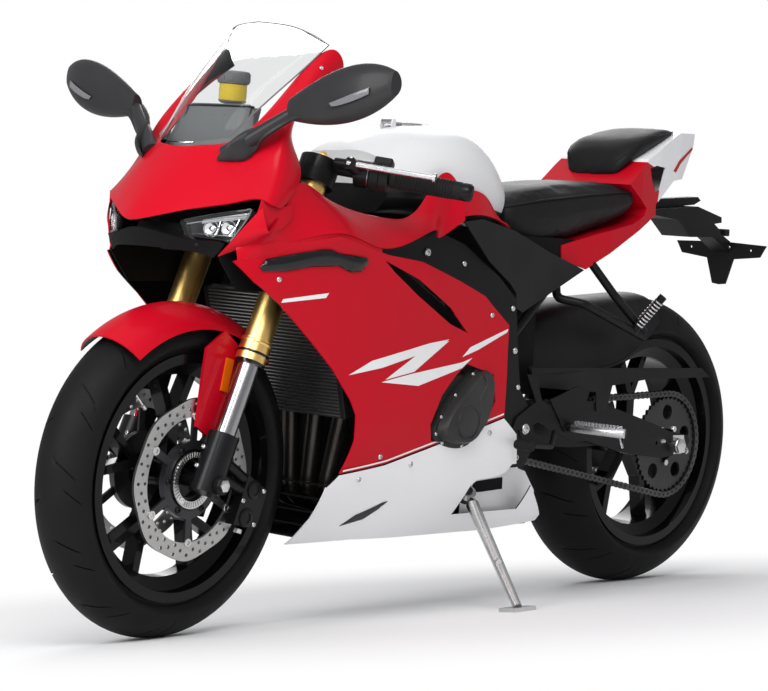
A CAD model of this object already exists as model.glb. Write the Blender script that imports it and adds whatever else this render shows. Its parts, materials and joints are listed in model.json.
"""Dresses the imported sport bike: finishes for its solids, tread, seats, lamps, small parts, stage."""

import json
import math

import bmesh
import bpy
from bpy.props import FloatProperty, FloatVectorProperty, IntProperty, PointerProperty
from mathutils import Matrix, Vector
from mathutils.bvhtree import BVHTree

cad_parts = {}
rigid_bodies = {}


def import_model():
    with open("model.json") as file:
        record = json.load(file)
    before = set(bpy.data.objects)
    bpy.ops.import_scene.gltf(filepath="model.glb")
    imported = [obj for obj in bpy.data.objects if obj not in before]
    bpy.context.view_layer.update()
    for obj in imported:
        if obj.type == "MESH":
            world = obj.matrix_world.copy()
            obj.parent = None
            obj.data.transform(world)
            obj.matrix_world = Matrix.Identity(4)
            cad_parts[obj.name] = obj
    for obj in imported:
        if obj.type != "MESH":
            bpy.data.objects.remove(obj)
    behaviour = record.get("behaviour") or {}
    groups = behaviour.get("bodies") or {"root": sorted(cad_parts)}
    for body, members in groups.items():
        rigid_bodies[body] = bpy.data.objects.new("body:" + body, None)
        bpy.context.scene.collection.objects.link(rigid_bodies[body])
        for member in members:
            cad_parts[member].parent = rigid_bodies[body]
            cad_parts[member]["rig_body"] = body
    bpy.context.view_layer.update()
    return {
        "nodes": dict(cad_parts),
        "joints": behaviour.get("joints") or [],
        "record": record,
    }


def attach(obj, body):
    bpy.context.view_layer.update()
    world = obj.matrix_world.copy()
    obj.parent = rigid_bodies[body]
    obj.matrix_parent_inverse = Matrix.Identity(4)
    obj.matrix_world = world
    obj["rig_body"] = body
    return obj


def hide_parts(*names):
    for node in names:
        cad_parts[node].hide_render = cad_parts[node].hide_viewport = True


bl_info = {
    "name": "Sport bike dressing",
    "version": (1, 0, 0),
    "blender": (4, 5, 0),
    "location": "View3D > Sidebar > Bike",
    "description": "Builds the finished look of a sport bike round its packed solids",
    "category": "Object",
}

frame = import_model()

# Sizes of the upright bike, in metres: shares of these place every piece
WHEELBASE = 1.385
BODY_HEIGHT = 1.130
HALF_WIDTH = 0.230
RAKE = math.radians(23)
STEER_REST = math.radians(4.2)
FORK_OFFSET = 0.030
FRONT_TYRE = (0.300, 0.060, 0.062, 0.045)
REAR_TYRE = (0.315, 0.090, 0.095, 0.070)
BEAD_RADIUS = 0.233
SEAT_RADIUS = 0.216
FRONT_DISC_PLACE = 0.066
FRONT_DISC_RADIUS = 0.149
REAR_DISC_PLACE = 0.098
REAR_DISC_RADIUS = 0.110
DISC_BAND = 0.034
DISC_HALF = 0.0025
CHAIN_PLACE = 0.113
CHAIN_PITCH = 0.0159
SPROCKET_RADIUS = 0.111
SMALL_SPROCKET_RADIUS = 0.041
SMALL_SPROCKET_SHARES = (0.462, 0, 0.329)
MM = 0.001
EVEN_REACH = 0.012


def at(length_share, width_share, height_share):
    """A point of the upright bike, from shares of its length, half width and height."""
    return Vector((length_share * WHEELBASE, width_share * HALF_WIDTH,
                   height_share * BODY_HEIGHT))


def joint(name):
    """The frame's record of a joint."""
    return next(row for row in frame["joints"] if row["name"] == name)


def bike_matrix():
    """From the upright bike to the bike as it leans on its stand."""
    rear = joint("rear_wheel_spin")
    left = Vector(rear["axis"]).normalized()
    pole = Vector(joint("steering_turn")["axis"]).normalized()
    across = left.cross(pole).normalized()
    ahead = across * math.cos(RAKE) - pole * math.sin(RAKE)
    up = across * math.sin(RAKE) + pole * math.cos(RAKE)
    origin = Vector(rear["pos_m"]) - up * REAR_TYRE[0]
    turn = Matrix((ahead, left, up)).transposed()
    return Matrix.Translation(origin) @ turn.to_4x4()


STEER_UP = Vector((-math.sin(RAKE), 0, math.cos(RAKE)))
STEER_AHEAD = Vector((math.cos(RAKE), 0, math.sin(RAKE)))
ACROSS = Vector((0, 1, 0))
AHEAD = Vector((1, 0, 0))
UP = Vector((0, 0, 1))
REAR_AXLE = Vector((0, 0, REAR_TYRE[0]))
FRONT_AXLE = Vector((WHEELBASE, 0, FRONT_TYRE[0]))
STEER_FOOT = FRONT_AXLE - STEER_AHEAD * FORK_OFFSET
BIKE = bike_matrix()
STEERED = (BIKE @ Matrix.Translation(STEER_FOOT) @ Matrix.Rotation(STEER_REST, 4, STEER_UP)
           @ Matrix.Translation(-STEER_FOOT))
PLACES = {"chassis": BIKE, "rear_wheel": BIKE, "filler_cap": BIKE, "side_stand": BIKE,
          "steering": STEERED, "front_wheel": STEERED}


# Shapes: each is a list of points of the upright bike and a list of faces

def gathered(shapes):
    """Several shapes as one."""
    points, faces = [], []
    for shape_points, shape_faces in shapes:
        start = len(points)
        points += shape_points
        faces += [tuple(index + start for index in face) for face in shape_faces]
    return points, faces


def mirrored(shape):
    """A shape on the bike's other side."""
    points, faces = shape
    return ([Vector((p.x, -p.y, p.z)) for p in points],
            [tuple(reversed(face)) for face in faces])


def both(shape):
    """A shape and its mirror image as one."""
    return gathered([shape, mirrored(shape)])


def cross_ways(way):
    """Two directions square to a third."""
    helper = UP if abs(way.normalized().z) < 0.9 else AHEAD
    first = way.cross(helper).normalized()
    return first, way.normalized().cross(first)


def turned(profile, centre, way, sides=32, ring=False):
    """A profile of (distance along, radius) turned about an axis."""
    way = way.normalized()
    first, second = cross_ways(way)
    points, faces = [], []
    for along, radius in profile:
        for step in range(sides):
            angle = math.tau * step / sides
            points.append(centre + way * along
                          + (first * math.cos(angle) + second * math.sin(angle)) * radius)
    rows = len(profile)
    for row in range(rows if ring else rows - 1):
        low, high = row * sides, (row + 1) % rows * sides
        for step in range(sides):
            after = (step + 1) % sides
            faces.append((low + step, low + after, high + after, high + step))
    if not ring:
        faces.append(tuple(reversed(range(sides))))
        faces.append(tuple(range((rows - 1) * sides, rows * sides)))
    return points, faces


def rod(start, end, radius, edge=0.0006, sides=24):
    """A round bar with broken edges."""
    way = end - start
    length = way.length
    edge = min(edge, radius / 3, length / 3)
    return turned([(0, radius - edge), (edge, radius), (length - edge, radius),
                   (length, radius - edge)], start, way, sides)


def smooth_line(points, steps=8):
    """A curve through points, close enough for a tube to follow."""
    line = []
    for index in range(len(points) - 1):
        before = points[max(index - 1, 0)]
        start, end = points[index], points[index + 1]
        after = points[min(index + 2, len(points) - 1)]
        for step in range(steps):
            t = step / steps
            line.append(0.5 * ((2 * start) + (end - before) * t
                               + (2 * before - 5 * start + 4 * end - after) * t ** 2
                               + (3 * start - before - 3 * end + after) * t ** 3))
    line.append(points[-1])
    return line


def tube(points, radius, sides=12):
    """A tube along points, rounded at both ends."""
    ways = []
    for index in range(len(points)):
        ways.append((points[min(index + 1, len(points) - 1)]
                     - points[max(index - 1, 0)]).normalized())
    first = cross_ways(ways[0])[0]
    verts, faces = [], []
    rows = []
    for index, (point, way) in enumerate(zip(points, ways)):
        first = (first - way * first.dot(way)).normalized()
        second = way.cross(first)
        if index == 0:
            rows.append((point - way * radius * 0.5, first, second, radius * 0.5))
        rows.append((point, first, second, radius))
        if index == len(points) - 1:
            rows.append((point + way * radius * 0.5, first, second, radius * 0.5))
    for centre, one, two, wide in rows:
        for step in range(sides):
            angle = math.tau * step / sides
            verts.append(centre + one * (math.cos(angle) * wide)
                         + two * (math.sin(angle) * wide))
    for row in range(len(rows) - 1):
        for step in range(sides):
            after = (step + 1) % sides
            faces.append((row * sides + step, row * sides + after,
                          (row + 1) * sides + after, (row + 1) * sides + step))
    faces.append(tuple(reversed(range(sides))))
    faces.append(tuple(range((len(rows) - 1) * sides, len(rows) * sides)))
    return verts, faces


def slab(outline, push):
    """A flat outline given a thickness."""
    count = len(outline)
    points = list(outline) + [point + push for point in outline]
    faces = [tuple(reversed(range(count))), tuple(range(count, count * 2))]
    for index in range(count):
        after = (index + 1) % count
        faces.append((index, after, after + count, index + count))
    return points, faces


def side_slab(outline_shares, low_share, high_share):
    """A slab seen from the side, between two shares of the half width."""
    points = [at(sx, low_share, sz) for sx, sz in outline_shares]
    return slab(points, ACROSS * (HALF_WIDTH * (high_share - low_share)))


def block(centre, half_sizes, ways=(AHEAD, ACROSS, UP)):
    """A block about its centre, along three ways."""
    points = []
    for x, y, z in ((-1, -1, -1), (1, -1, -1), (1, 1, -1), (-1, 1, -1),
                    (-1, -1, 1), (1, -1, 1), (1, 1, 1), (-1, 1, 1)):
        points.append(centre + ways[0] * (x * half_sizes[0]) + ways[1] * (y * half_sizes[1])
                      + ways[2] * (z * half_sizes[2]))
    return points, [(3, 2, 1, 0), (4, 5, 6, 7), (0, 1, 5, 4), (1, 2, 6, 5), (2, 3, 7, 6),
                    (3, 0, 4, 7)]


def screw(centre, way, radius, sides=20):
    """A round-headed screw with a socket, its head standing on a point."""
    tall = radius * 0.62
    socket = radius * 0.46
    return turned([(-0.2 * tall, radius * 0.96), (0.15 * tall, radius), (0.62 * tall, radius * 0.93),
                   (0.93 * tall, radius * 0.7), (tall, radius * 0.52), (0.98 * tall, socket),
                   (0.4 * tall, socket * 0.96), (0.38 * tall, socket * 0.2)],
                  centre, way, sides)


def hexagon(centre, way, radius, tall):
    """A six-sided nut or bolt head."""
    edge = tall * 0.15
    return turned([(0, radius), (tall - edge, radius), (tall, radius * 0.9),
                   (tall, radius * 0.3)], centre, way, 6)


def loft(rows, closed_rows=True):
    """Faces between rows of points, each row a closed loop or an open line."""
    count = len(rows[0])
    points = [point for row in rows for point in row]
    faces = []
    for row in range(len(rows) - 1):
        for step in range(count if closed_rows else count - 1):
            after = (step + 1) % count
            faces.append((row * count + step, row * count + after,
                          (row + 1) * count + after, (row + 1) * count + step))
    if closed_rows:
        faces.append(tuple(reversed(range(count))))
        faces.append(tuple(range((len(rows) - 1) * count, len(rows) * count)))
    return points, faces


def between(rows, down, along):
    """Rows of points filled in to a finer smooth grid."""
    wide = [smooth_line(row, along) for row in rows]
    columns = [smooth_line([row[index] for row in wide], down)
               for index in range(len(wide[0]))]
    return [[column[index] for column in columns] for index in range(len(columns[0]))]


# Pieces

WELD = 1e-6
FACE_WEIGHT = 90
EDGE_SEGMENTS = 2
EDGE_ANGLE = math.radians(35)
RAY_START_SHARE, RAY_LENGTH = 3.0, 2.0


def piece(name, body, finish, shape, bevel=0.0, thickness=0.0, replaces=(),
          sharp=38.0):
    """A new object with its finish, riding on its body."""
    points, faces = shape
    mesh = bpy.data.meshes.new(name)
    mesh.from_pydata([PLACES[body] @ point for point in points], [], faces)
    tidy = bmesh.new()
    tidy.from_mesh(mesh)
    bmesh.ops.remove_doubles(tidy, verts=tidy.verts, dist=WELD)
    bmesh.ops.recalc_face_normals(tidy, faces=tidy.faces)
    tidy.to_mesh(mesh)
    tidy.free()
    mesh.shade_smooth()
    mesh.set_sharp_from_angle(angle=math.radians(sharp))
    obj = bpy.data.objects.new(name, mesh)
    bpy.context.scene.collection.objects.link(obj)
    if thickness:
        solid = obj.modifiers.new("thickness", "SOLIDIFY")
        solid.thickness = thickness
        solid.offset = 0.0
        solid.use_even_offset = True
        flat = obj.modifiers.new("flat faces", "WEIGHTED_NORMAL")
        flat.mode = "FACE_AREA"
        flat.weight = FACE_WEIGHT
    if bevel:
        edge = obj.modifiers.new("edges", "BEVEL")
        edge.width = bevel
        edge.segments = EDGE_SEGMENTS
        edge.limit_method = "ANGLE"
        edge.angle_limit = EDGE_ANGLE
        edge.harden_normals = True
    mesh.materials.append(material(finish))
    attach(obj, body)
    if replaces:
        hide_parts(*replaces)
    return obj


surfaces = {}


def surface(node):
    """A CAD node's faces, to lay things on, in the upright bike's place."""
    if node not in surfaces:
        back = PLACES[frame["nodes"][node]["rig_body"]].inverted()
        mesh = frame["nodes"][node].data
        surfaces[node] = BVHTree.FromPolygons([back @ v.co for v in mesh.vertices],
                                              [tuple(p.vertices) for p in mesh.polygons])
    return surfaces[node]


def on_side(node, length_share, height_share, side=1):
    """Where a line from the side meets a node, and the way out of it there."""
    start = at(length_share, side * RAY_START_SHARE, height_share)
    place, normal = surface(node).ray_cast(start, ACROSS * -side, RAY_LENGTH)[:2]
    if place is None:
        place, normal = surface(node).find_nearest(at(length_share, side, height_share))[:2]
    return place, normal if normal.y * side > 0 else -normal


def evened(node, x, z, side):
    """A place on a node's side with the facets of its mesh evened out."""
    place, normal = on_side(node, x / WHEELBASE, z / BODY_HEIGHT, side)
    depths, normals = [place.y], [normal]
    for count in range(8):
        turn = math.tau * count / 8
        beside, also = on_side(node, (x + EVEN_REACH * math.cos(turn)) / WHEELBASE,
                               (z + EVEN_REACH * math.sin(turn)) / BODY_HEIGHT, side)
        if abs(beside.y - place.y) < EVEN_REACH / 2:
            depths.append(beside.y)
            normals.append(also)
    place.y = sum(depths) / len(depths)
    return place, sum(normals, Vector()).normalized()


def laid(node, outline_shares, side=1, lift=0.0006, cell=0.014, dome=0.0):
    """A patch over a node's surface, inside an outline drawn in the side view."""
    patch = bmesh.new()
    corners = [patch.verts.new(at(sx, 0, sz)) for sx, sz in outline_shares]
    patch.faces.new(corners)
    for normal in (AHEAD, UP):
        places = [corner.co.dot(normal) for corner in corners]
        place = min(places) + cell
        while place < max(places):
            everything = patch.verts[:] + patch.edges[:] + patch.faces[:]
            bmesh.ops.bisect_plane(patch, geom=everything, plane_co=normal * place,
                                   plane_no=normal)
            place += cell
    bmesh.ops.triangulate(patch, faces=[f for f in patch.faces if len(f.verts) > 4])
    edge_points = [vert.co.copy() for vert in patch.verts if vert.is_boundary]
    points = []
    for vert in patch.verts:
        rise = lift
        if dome:
            near = min((vert.co - point).length for point in edge_points)
            rise += dome * (1 - math.exp(-near / dome))
        place, normal = evened(node, vert.co.x, vert.co.z, side)
        points.append(place + normal * rise)
    patch.verts.index_update()
    faces = [tuple(v.index for v in face.verts) for face in patch.faces]
    patch.free()
    return points, faces


def hugging(node, points, lift=0.0):
    """Points moved onto a node's nearest surface."""
    placed = []
    for point in points:
        place, normal = surface(node).find_nearest(point)[:2]
        placed.append(place + normal * lift)
    return placed


def stripe(points_shares, half):
    """An even band along points of the side view, as an outline."""
    line = [Vector((sx * WHEELBASE, 0, sz * BODY_HEIGHT)) for sx, sz in points_shares]
    upper, lower = [], []
    for index, point in enumerate(line):
        way = (line[min(index + 1, len(line) - 1)] - line[max(index - 1, 0)]).normalized()
        out = Vector((-way.z, 0, way.x)) * half
        upper.append(point + out)
        lower.append(point - out)
    return [(p.x / WHEELBASE, p.z / BODY_HEIGHT) for p in upper + lower[::-1]]


def wheel_point(radius, angle_deg, side=0.0):
    """A point round an axle, its angle counted forward from the top."""
    angle = math.radians(angle_deg)
    return Vector((radius * math.sin(angle), side, radius * math.cos(angle)))


def leg(distance, side=0.0, ahead=0.0):
    """A point by the fork, that far up from the front axle."""
    return FRONT_AXLE + STEER_UP * distance + ACROSS * side + STEER_AHEAD * ahead


# Finishes

# Base colour, metallic, roughness, coat, grain per metre, its depth in mm, drift, kind of grain;
# the two paints take their colour from the bike's settings
FINISHES = {
    "red_paint": (None, 0.0, 0.34, 0.10, 900, 0.002, 0.05, "noise"),
    "white_paint": (None, 0.0, 0.35, 0.5, 700, 0.002, 0.015, "noise"),
    "stripe_white": ((0.80, 0.80, 0.80), 0.0, 0.62, 0.0, 700, 0.001, 0.015, "noise"),
    "black_plastic": ((0.009, 0.009, 0.0095), 0.0, 0.46, 0.0, 1400, 0.03, 0.25, "noise"),
    "dash_grey": ((0.150, 0.155, 0.158), 0.0, 0.50, 0.0, 1400, 0.03, 0.10, "noise"),
    "satin_black": ((0.026, 0.026, 0.027), 0.0, 0.38, 0.05, 1200, 0.01, 0.15, "noise"),
    "gloss_black": ((0.004, 0.004, 0.0045), 0.0, 0.20, 0.5, 600, 0.002, 0.15, "noise"),
    "deep_black": ((0.002, 0.002, 0.002), 0.0, 0.70, 0.0, 900, 0.03, 0.15, "noise"),
    "black_frame": ((0.0075, 0.0075, 0.008), 0.2, 0.42, 0.03, 1100, 0.01, 0.2, "noise"),
    "engine_black": ((0.044, 0.044, 0.043), 0.4, 0.42, 0.0, 520, 0.05, 0.25, "noise"),
    "radiator_black": ((0.030, 0.030, 0.032), 0.6, 0.42, 0.0, 420, 0.35, 0.2, "fins"),
    "radiator_tube": ((0.24, 0.235, 0.225), 0.9, 0.38, 0.0, 900, 0.004, 0.2, "noise"),
    "exhaust_steel": ((0.060, 0.055, 0.050), 0.9, 0.32, 0.0, 260, 0.004, 0.35, "brushed"),
    "bright_steel": ((0.62, 0.62, 0.61), 1.0, 0.26, 0.0, 500, 0.002, 0.10, "brushed"),
    "dark_steel": ((0.055, 0.055, 0.055), 0.9, 0.38, 0.0, 500, 0.002, 0.20, "brushed"),
    "chain_steel": ((0.075, 0.072, 0.070), 0.9, 0.40, 0.0, 700, 0.01, 0.3, "noise"),
    "caliper_black": ((0.010, 0.010, 0.011), 0.4, 0.34, 0.1, 900, 0.01, 0.2, "noise"),
    "clear_screen": ((0.80, 0.81, 0.81), 0.0, 0.02, 0.0, 300, 0.0005, 0.01, "screen"),
    "lamp_lens": ((0.94, 0.95, 0.96), 0.0, 0.02, 0.0, 300, 0.0005, 0.02, "lens"),
    "smoke_lens": ((0.16, 0.16, 0.17), 0.0, 0.14, 0.8, 600, 0.01, 0.1, "noise"),
    "seat_vinyl": ((0.009, 0.009, 0.0095), 0.0, 0.50, 0.0, 520, 0.12, 0.2, "leather"),
    "gold_anodised": ((0.96, 0.63, 0.21), 1.0, 0.32, 0.1, 380, 0.002, 0.05, "brushed"),
    "chrome_steel": ((0.36, 0.36, 0.365), 1.0, 0.20, 0.0, 300, 0.0005, 0.04, "brushed"),
    "bright_aluminium": ((0.62, 0.62, 0.63), 1.0, 0.27, 0.0, 600, 0.002, 0.08, "brushed"),
    "grip_rubber": ((0.009, 0.009, 0.009), 0.0, 0.62, 0.0, 900, 0.05, 0.2, "noise"),
    "amber_lens": ((0.75, 0.13, 0.004), 0.0, 0.15, 0.8, 420, 0.25, 0.15, "cells"),
    "red_lens": ((0.40, 0.004, 0.006), 0.0, 0.12, 0.8, 420, 0.2, 0.15, "cells"),
    "fluid": ((0.70, 0.52, 0.05), 0.0, 0.15, 0.5, 300, 0.002, 0.06, "noise"),
    "tyre_rubber": ((0.0045, 0.0045, 0.0045), 0.0, 0.62, 0.0, 700, 0.03, 0.22, "noise"),
    "wheel_black": ((0.0035, 0.0035, 0.004), 0.1, 0.24, 0.2, 600, 0.003, 0.15, "noise"),
    "mirror_glass": ((0.85, 0.86, 0.87), 1.0, 0.02, 0.0, 200, 0.0005, 0.02, "noise"),
    "dark_screen": ((0.010, 0.011, 0.014), 0.0, 0.10, 0.8, 200, 0.001, 0.1, "noise"),
    "lamp_grey": ((0.42, 0.43, 0.44), 0.3, 0.30, 0.3, 500, 0.002, 0.05, "noise"),
    "reflector_metal": ((0.80, 0.81, 0.83), 1.0, 0.14, 0.0, 500, 0.002, 0.05, "noise"),
}
GLOSS = {"red_paint": 0.08, "wheel_black": 0.10, "stripe_white": 0.1, "white_paint": 0.30,
         "clear_screen": 0.5, "lamp_lens": 0.5}
PLAIN_GLOSS = 0.17
# A mix node's colour sockets
MIX_FIRST, MIX_SECOND, MIX_RESULT = 6, 7, 2
DRIFT_SCALE = 9.0
DRIFT_SHARES = (0.3, 0.7)
BRUSHED_STRETCH = (1, 1, 0.12)
COAT_ROUGHNESS = 0.04
SHINE_DRIFT = 0.18
LIGHT_BENDING = {"screen": 1.15, "lens": 1.35}
CARRIER_BLACK = (0.018, 0.018, 0.020)
GROUND_STEEL = (0.47, 0.47, 0.46)
CARRIER_METALLIC = 0.2
GRINDING_MARKS = 9000.0
DISC_BLUR = 0.0005
DISC_ROUGHNESS = (0.25, 0.42)
BARE_PLASTIC = (0.006, 0.006, 0.006)
PALE_COAT, RED_COAT, SPLIT_COAT = 0.4, 0.10, 0.12
SKIN_ROUGHNESS = (0.30, 0.40)
SPLIT_ROUGHNESS = (0.28, 0.38)
PAINT_DEPTH_MM = 0.002
PAINT_BLUR = 0.0004
TANK_SHADE = 0.87
TANK_NOSE_BLACK = (0.012, 0.012, 0.012)
made = {}


def link(tree, source, socket_out, target, socket_in):
    """Joins one node's output to another's input."""
    tree.links.new(source.outputs[socket_out], target.inputs[socket_in])


def texture_place(tree, stretch=(1, 1, 1)):
    """Coordinates fixed to the bike, whatever the piece."""
    coordinates = tree.nodes.new("ShaderNodeTexCoord")
    mapping = tree.nodes.new("ShaderNodeMapping")
    mapping.inputs["Scale"].default_value = stretch
    link(tree, coordinates, "Object", mapping, "Vector")
    return mapping


def noise(tree, place, scale, detail=3.0, roughness=0.5):
    """A noise texture fixed to the given coordinates."""
    node = tree.nodes.new("ShaderNodeTexNoise")
    node.inputs["Scale"].default_value = scale
    node.inputs["Detail"].default_value = detail
    node.inputs["Roughness"].default_value = roughness
    link(tree, place, "Vector", node, "Vector")
    return node


def relief(tree, shader, source, socket, depth_mm):
    """Fine relief whose height comes from a node's output."""
    bump = tree.nodes.new("ShaderNodeBump")
    bump.inputs["Distance"].default_value = depth_mm * MM
    bump.inputs["Strength"].default_value = 1.0
    link(tree, source, socket, bump, "Height")
    link(tree, bump, "Normal", shader, "Normal")


def new_finish(name):
    """A new material with its node tree and its shader."""
    result = bpy.data.materials.new(name)
    result.use_nodes = True
    return result, result.node_tree, result.node_tree.nodes["Principled BSDF"]


def vector_maths(tree, operation, source, socket, other=None):
    """A vector maths node fed by an output, and by a fixed vector if one is given."""
    node = tree.nodes.new("ShaderNodeVectorMath")
    node.operation = operation
    if other is not None:
        node.inputs[1].default_value = other
    link(tree, source, socket, node, 0)
    return node


def maths(tree, operation, *inputs):
    """A maths node fed by (node, socket) pairs or plain numbers."""
    node = tree.nodes.new("ShaderNodeMath")
    node.operation = operation
    for index, entry in enumerate(inputs):
        if isinstance(entry, tuple):
            link(tree, entry[0], entry[1], node, index)
        else:
            node.inputs[index].default_value = entry
    return node


def ranged(tree, source, socket, low=0.0, high=1.0, from_low=0.0, from_high=1.0):
    """A value carried over from one range to another."""
    node = tree.nodes.new("ShaderNodeMapRange")
    node.inputs["From Min"].default_value = from_low
    node.inputs["From Max"].default_value = from_high
    node.inputs["To Min"].default_value = low
    node.inputs["To Max"].default_value = high
    link(tree, source, socket, node, "Value")
    return node


def uneven_shine(tree, shader, low, high, scale, detail=3.0, roughness=0.5):
    """Roughness that drifts over the surface between two values."""
    patches = noise(tree, texture_place(tree), scale, detail, roughness)
    link(tree, ranged(tree, patches, "Fac", low, high), "Result", shader, "Roughness")


def two_colours(tree, shader, mask, socket, behind, ahead):
    """One colour where a mask is nought and another where it is one."""
    mix = tree.nodes.new("ShaderNodeMix")
    mix.data_type = "RGBA"
    mix.inputs[MIX_FIRST].default_value = (*behind, 1)
    mix.inputs[MIX_SECOND].default_value = (*ahead, 1)
    link(tree, mask, socket, mix, 0)
    link(tree, mix, MIX_RESULT, shader, "Base Color")


def axle_distance(tree, centre, way):
    """How far the surface is from an axle, as a node output."""
    coordinates = tree.nodes.new("ShaderNodeTexCoord")
    offset = vector_maths(tree, "SUBTRACT", coordinates, "Object", centre)
    cross = vector_maths(tree, "CROSS_PRODUCT", offset, 0, way)
    return vector_maths(tree, "LENGTH", cross, 0)


def colour_drift(tree, shader, base, drift, scale=DRIFT_SCALE):
    """Small differences of colour over the surface."""
    source = noise(tree, texture_place(tree), scale, 4.0)
    ramp = tree.nodes.new("ShaderNodeValToRGB")
    low, high = ramp.color_ramp.elements
    low.position, high.position = DRIFT_SHARES
    low.color = (*[channel * (1 - drift) for channel in base], 1)
    high.color = (*[min(channel * (1 + drift), 1.0) for channel in base], 1)
    link(tree, source, "Fac", ramp, "Fac")
    link(tree, ramp, "Color", shader, "Base Color")


def grain_pattern(tree, kind, scale):
    """The node that draws a finish's grain, and the output that holds its height."""
    place = texture_place(tree, BRUSHED_STRETCH if kind == "brushed" else (1, 1, 1))
    if kind in ("leather", "cells"):
        node, height = tree.nodes.new("ShaderNodeTexVoronoi"), "Distance"
        if kind == "leather":
            node.feature = "DISTANCE_TO_EDGE"
    elif kind == "fins":
        node, height = tree.nodes.new("ShaderNodeTexWave"), "Fac"
        node.bands_direction = "Y"
    else:
        return noise(tree, place, scale), "Fac"
    node.inputs["Scale"].default_value = scale
    link(tree, place, "Vector", node, "Vector")
    return node, height


def material(name):
    """The finish of that name, made the first time it is asked for."""
    if name in made:
        return made[name]
    if name in SPECIAL_FINISHES:
        made[name] = SPECIAL_FINISHES[name](name)
        return made[name]
    base, metallic, roughness, coat, grain, depth_mm, drift, kind = FINISHES[name]
    if name in PAINTS:
        base = tuple(getattr(bpy.context.scene.bike_look, PAINTS[name]))
    result, tree, shader = new_finish(name)
    shader.inputs["Metallic"].default_value = metallic
    shader.inputs["Specular IOR Level"].default_value = GLOSS.get(name, PLAIN_GLOSS)
    shader.inputs["Coat Weight"].default_value = coat
    shader.inputs["Coat Roughness"].default_value = COAT_ROUGHNESS
    colour_drift(tree, shader, base, drift)
    relief(tree, shader, *grain_pattern(tree, kind, grain), depth_mm)
    low = max(roughness * (1 - SHINE_DRIFT), 0.01)
    high = min(roughness * (1 + SHINE_DRIFT), 1.0)
    uneven_shine(tree, shader, low, high, 22.0, 5.0, 0.6)
    if kind in LIGHT_BENDING:
        shader.inputs["Transmission Weight"].default_value = 1.0
        shader.inputs["IOR"].default_value = LIGHT_BENDING[kind]
    made[name] = result
    return result


def disc_finish(name):
    """Ground steel outside, black anodised carrier inside."""
    result, tree, shader = new_finish(name)
    rear = name.startswith("rear")
    wheel = joint("rear_wheel_spin" if rear else "front_wheel_spin")
    inner = (REAR_DISC_RADIUS if rear else FRONT_DISC_RADIUS) - DISC_BAND
    distance = axle_distance(tree, wheel["pos_m"], wheel["axis"])
    band = ranged(tree, distance, "Value", from_low=inner - DISC_BLUR, from_high=inner + DISC_BLUR)
    ramp = tree.nodes.new("ShaderNodeValToRGB")
    ramp.color_ramp.elements[0].color = (*CARRIER_BLACK, 1)
    ramp.color_ramp.elements[1].color = (*GROUND_STEEL, 1)
    link(tree, band, "Result", ramp, "Fac")
    link(tree, ramp, "Color", shader, "Base Color")
    shine = ranged(tree, band, "Result", CARRIER_METALLIC, 1.0)
    link(tree, shine, "Result", shader, "Metallic")
    many = maths(tree, "MULTIPLY", (distance, "Value"), GRINDING_MARKS)
    relief(tree, shader, maths(tree, "SINE", (many, "Value")), "Value", 0.01)
    uneven_shine(tree, shader, *DISC_ROUGHNESS, 60.0, 4.0)
    return result


SKIN_WAYS = {"nose_skin": AHEAD * 0.78 + UP * 0.62, "fairing_skin": UP * 0.5,
             "belly_skin": UP * -0.5}
SKIN_LIMITS = {"nose_skin": -0.04, "fairing_skin": -0.40, "belly_skin": -0.10,
               "fender_skin": -0.004}
SIDE_WEIGHT = 6.0


def outward_mask(tree, name):
    """One where a thin panel's surface faces out of the bike, nought inside it."""
    geometry = tree.nodes.new("ShaderNodeNewGeometry")
    coordinates = tree.nodes.new("ShaderNodeTexCoord")
    if name == "fender_skin":
        middle = joint("front_wheel_spin")["pos_m"]
        offset = vector_maths(tree, "SUBTRACT", coordinates, "Object", middle)
        facing = vector_maths(tree, "DOT_PRODUCT", offset, 0)
        link(tree, geometry, "True Normal", facing, 1)
        return maths(tree, "GREATER_THAN", (facing, "Value"), SKIN_LIMITS[name])
    turn = BIKE.to_3x3()
    left = (turn @ ACROSS).normalized()
    offset = vector_maths(tree, "SUBTRACT", coordinates, "Object", BIKE.translation)
    place = vector_maths(tree, "DOT_PRODUCT", offset, 0, left)
    facing = vector_maths(tree, "DOT_PRODUCT", geometry, "True Normal", left)
    sideways = maths(tree, "MULTIPLY", (place, "Value"), (facing, "Value"))
    weighed = maths(tree, "MULTIPLY", (sideways, "Value"), SIDE_WEIGHT)
    along = vector_maths(tree, "DOT_PRODUCT", geometry, "True Normal", turn @ SKIN_WAYS[name])
    total = maths(tree, "ADD", (weighed, "Value"), (along, "Value"))
    return maths(tree, "GREATER_THAN", (total, "Value"), SKIN_LIMITS[name])


def skin_paint(name):
    """Paint on the outside of a panel and bare black plastic behind it."""
    result, tree, shader = new_finish(name)
    look = bpy.context.scene.bike_look
    pale = name == "belly_skin"
    mask = outward_mask(tree, name)
    two_colours(tree, shader, mask, "Value", BARE_PLASTIC, look.white if pale else look.red)
    coat = maths(tree, "MULTIPLY", (mask, "Value"), PALE_COAT if pale else RED_COAT)
    link(tree, coat, "Value", shader, "Coat Weight")
    shader.inputs["Coat Roughness"].default_value = COAT_ROUGHNESS
    shader.inputs["Specular IOR Level"].default_value = GLOSS["white_paint" if pale else "red_paint"]
    relief(tree, shader, noise(tree, texture_place(tree), 900.0), "Fac", PAINT_DEPTH_MM)
    uneven_shine(tree, shader, *SKIN_ROUGHNESS, 20.0)
    return result


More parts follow.
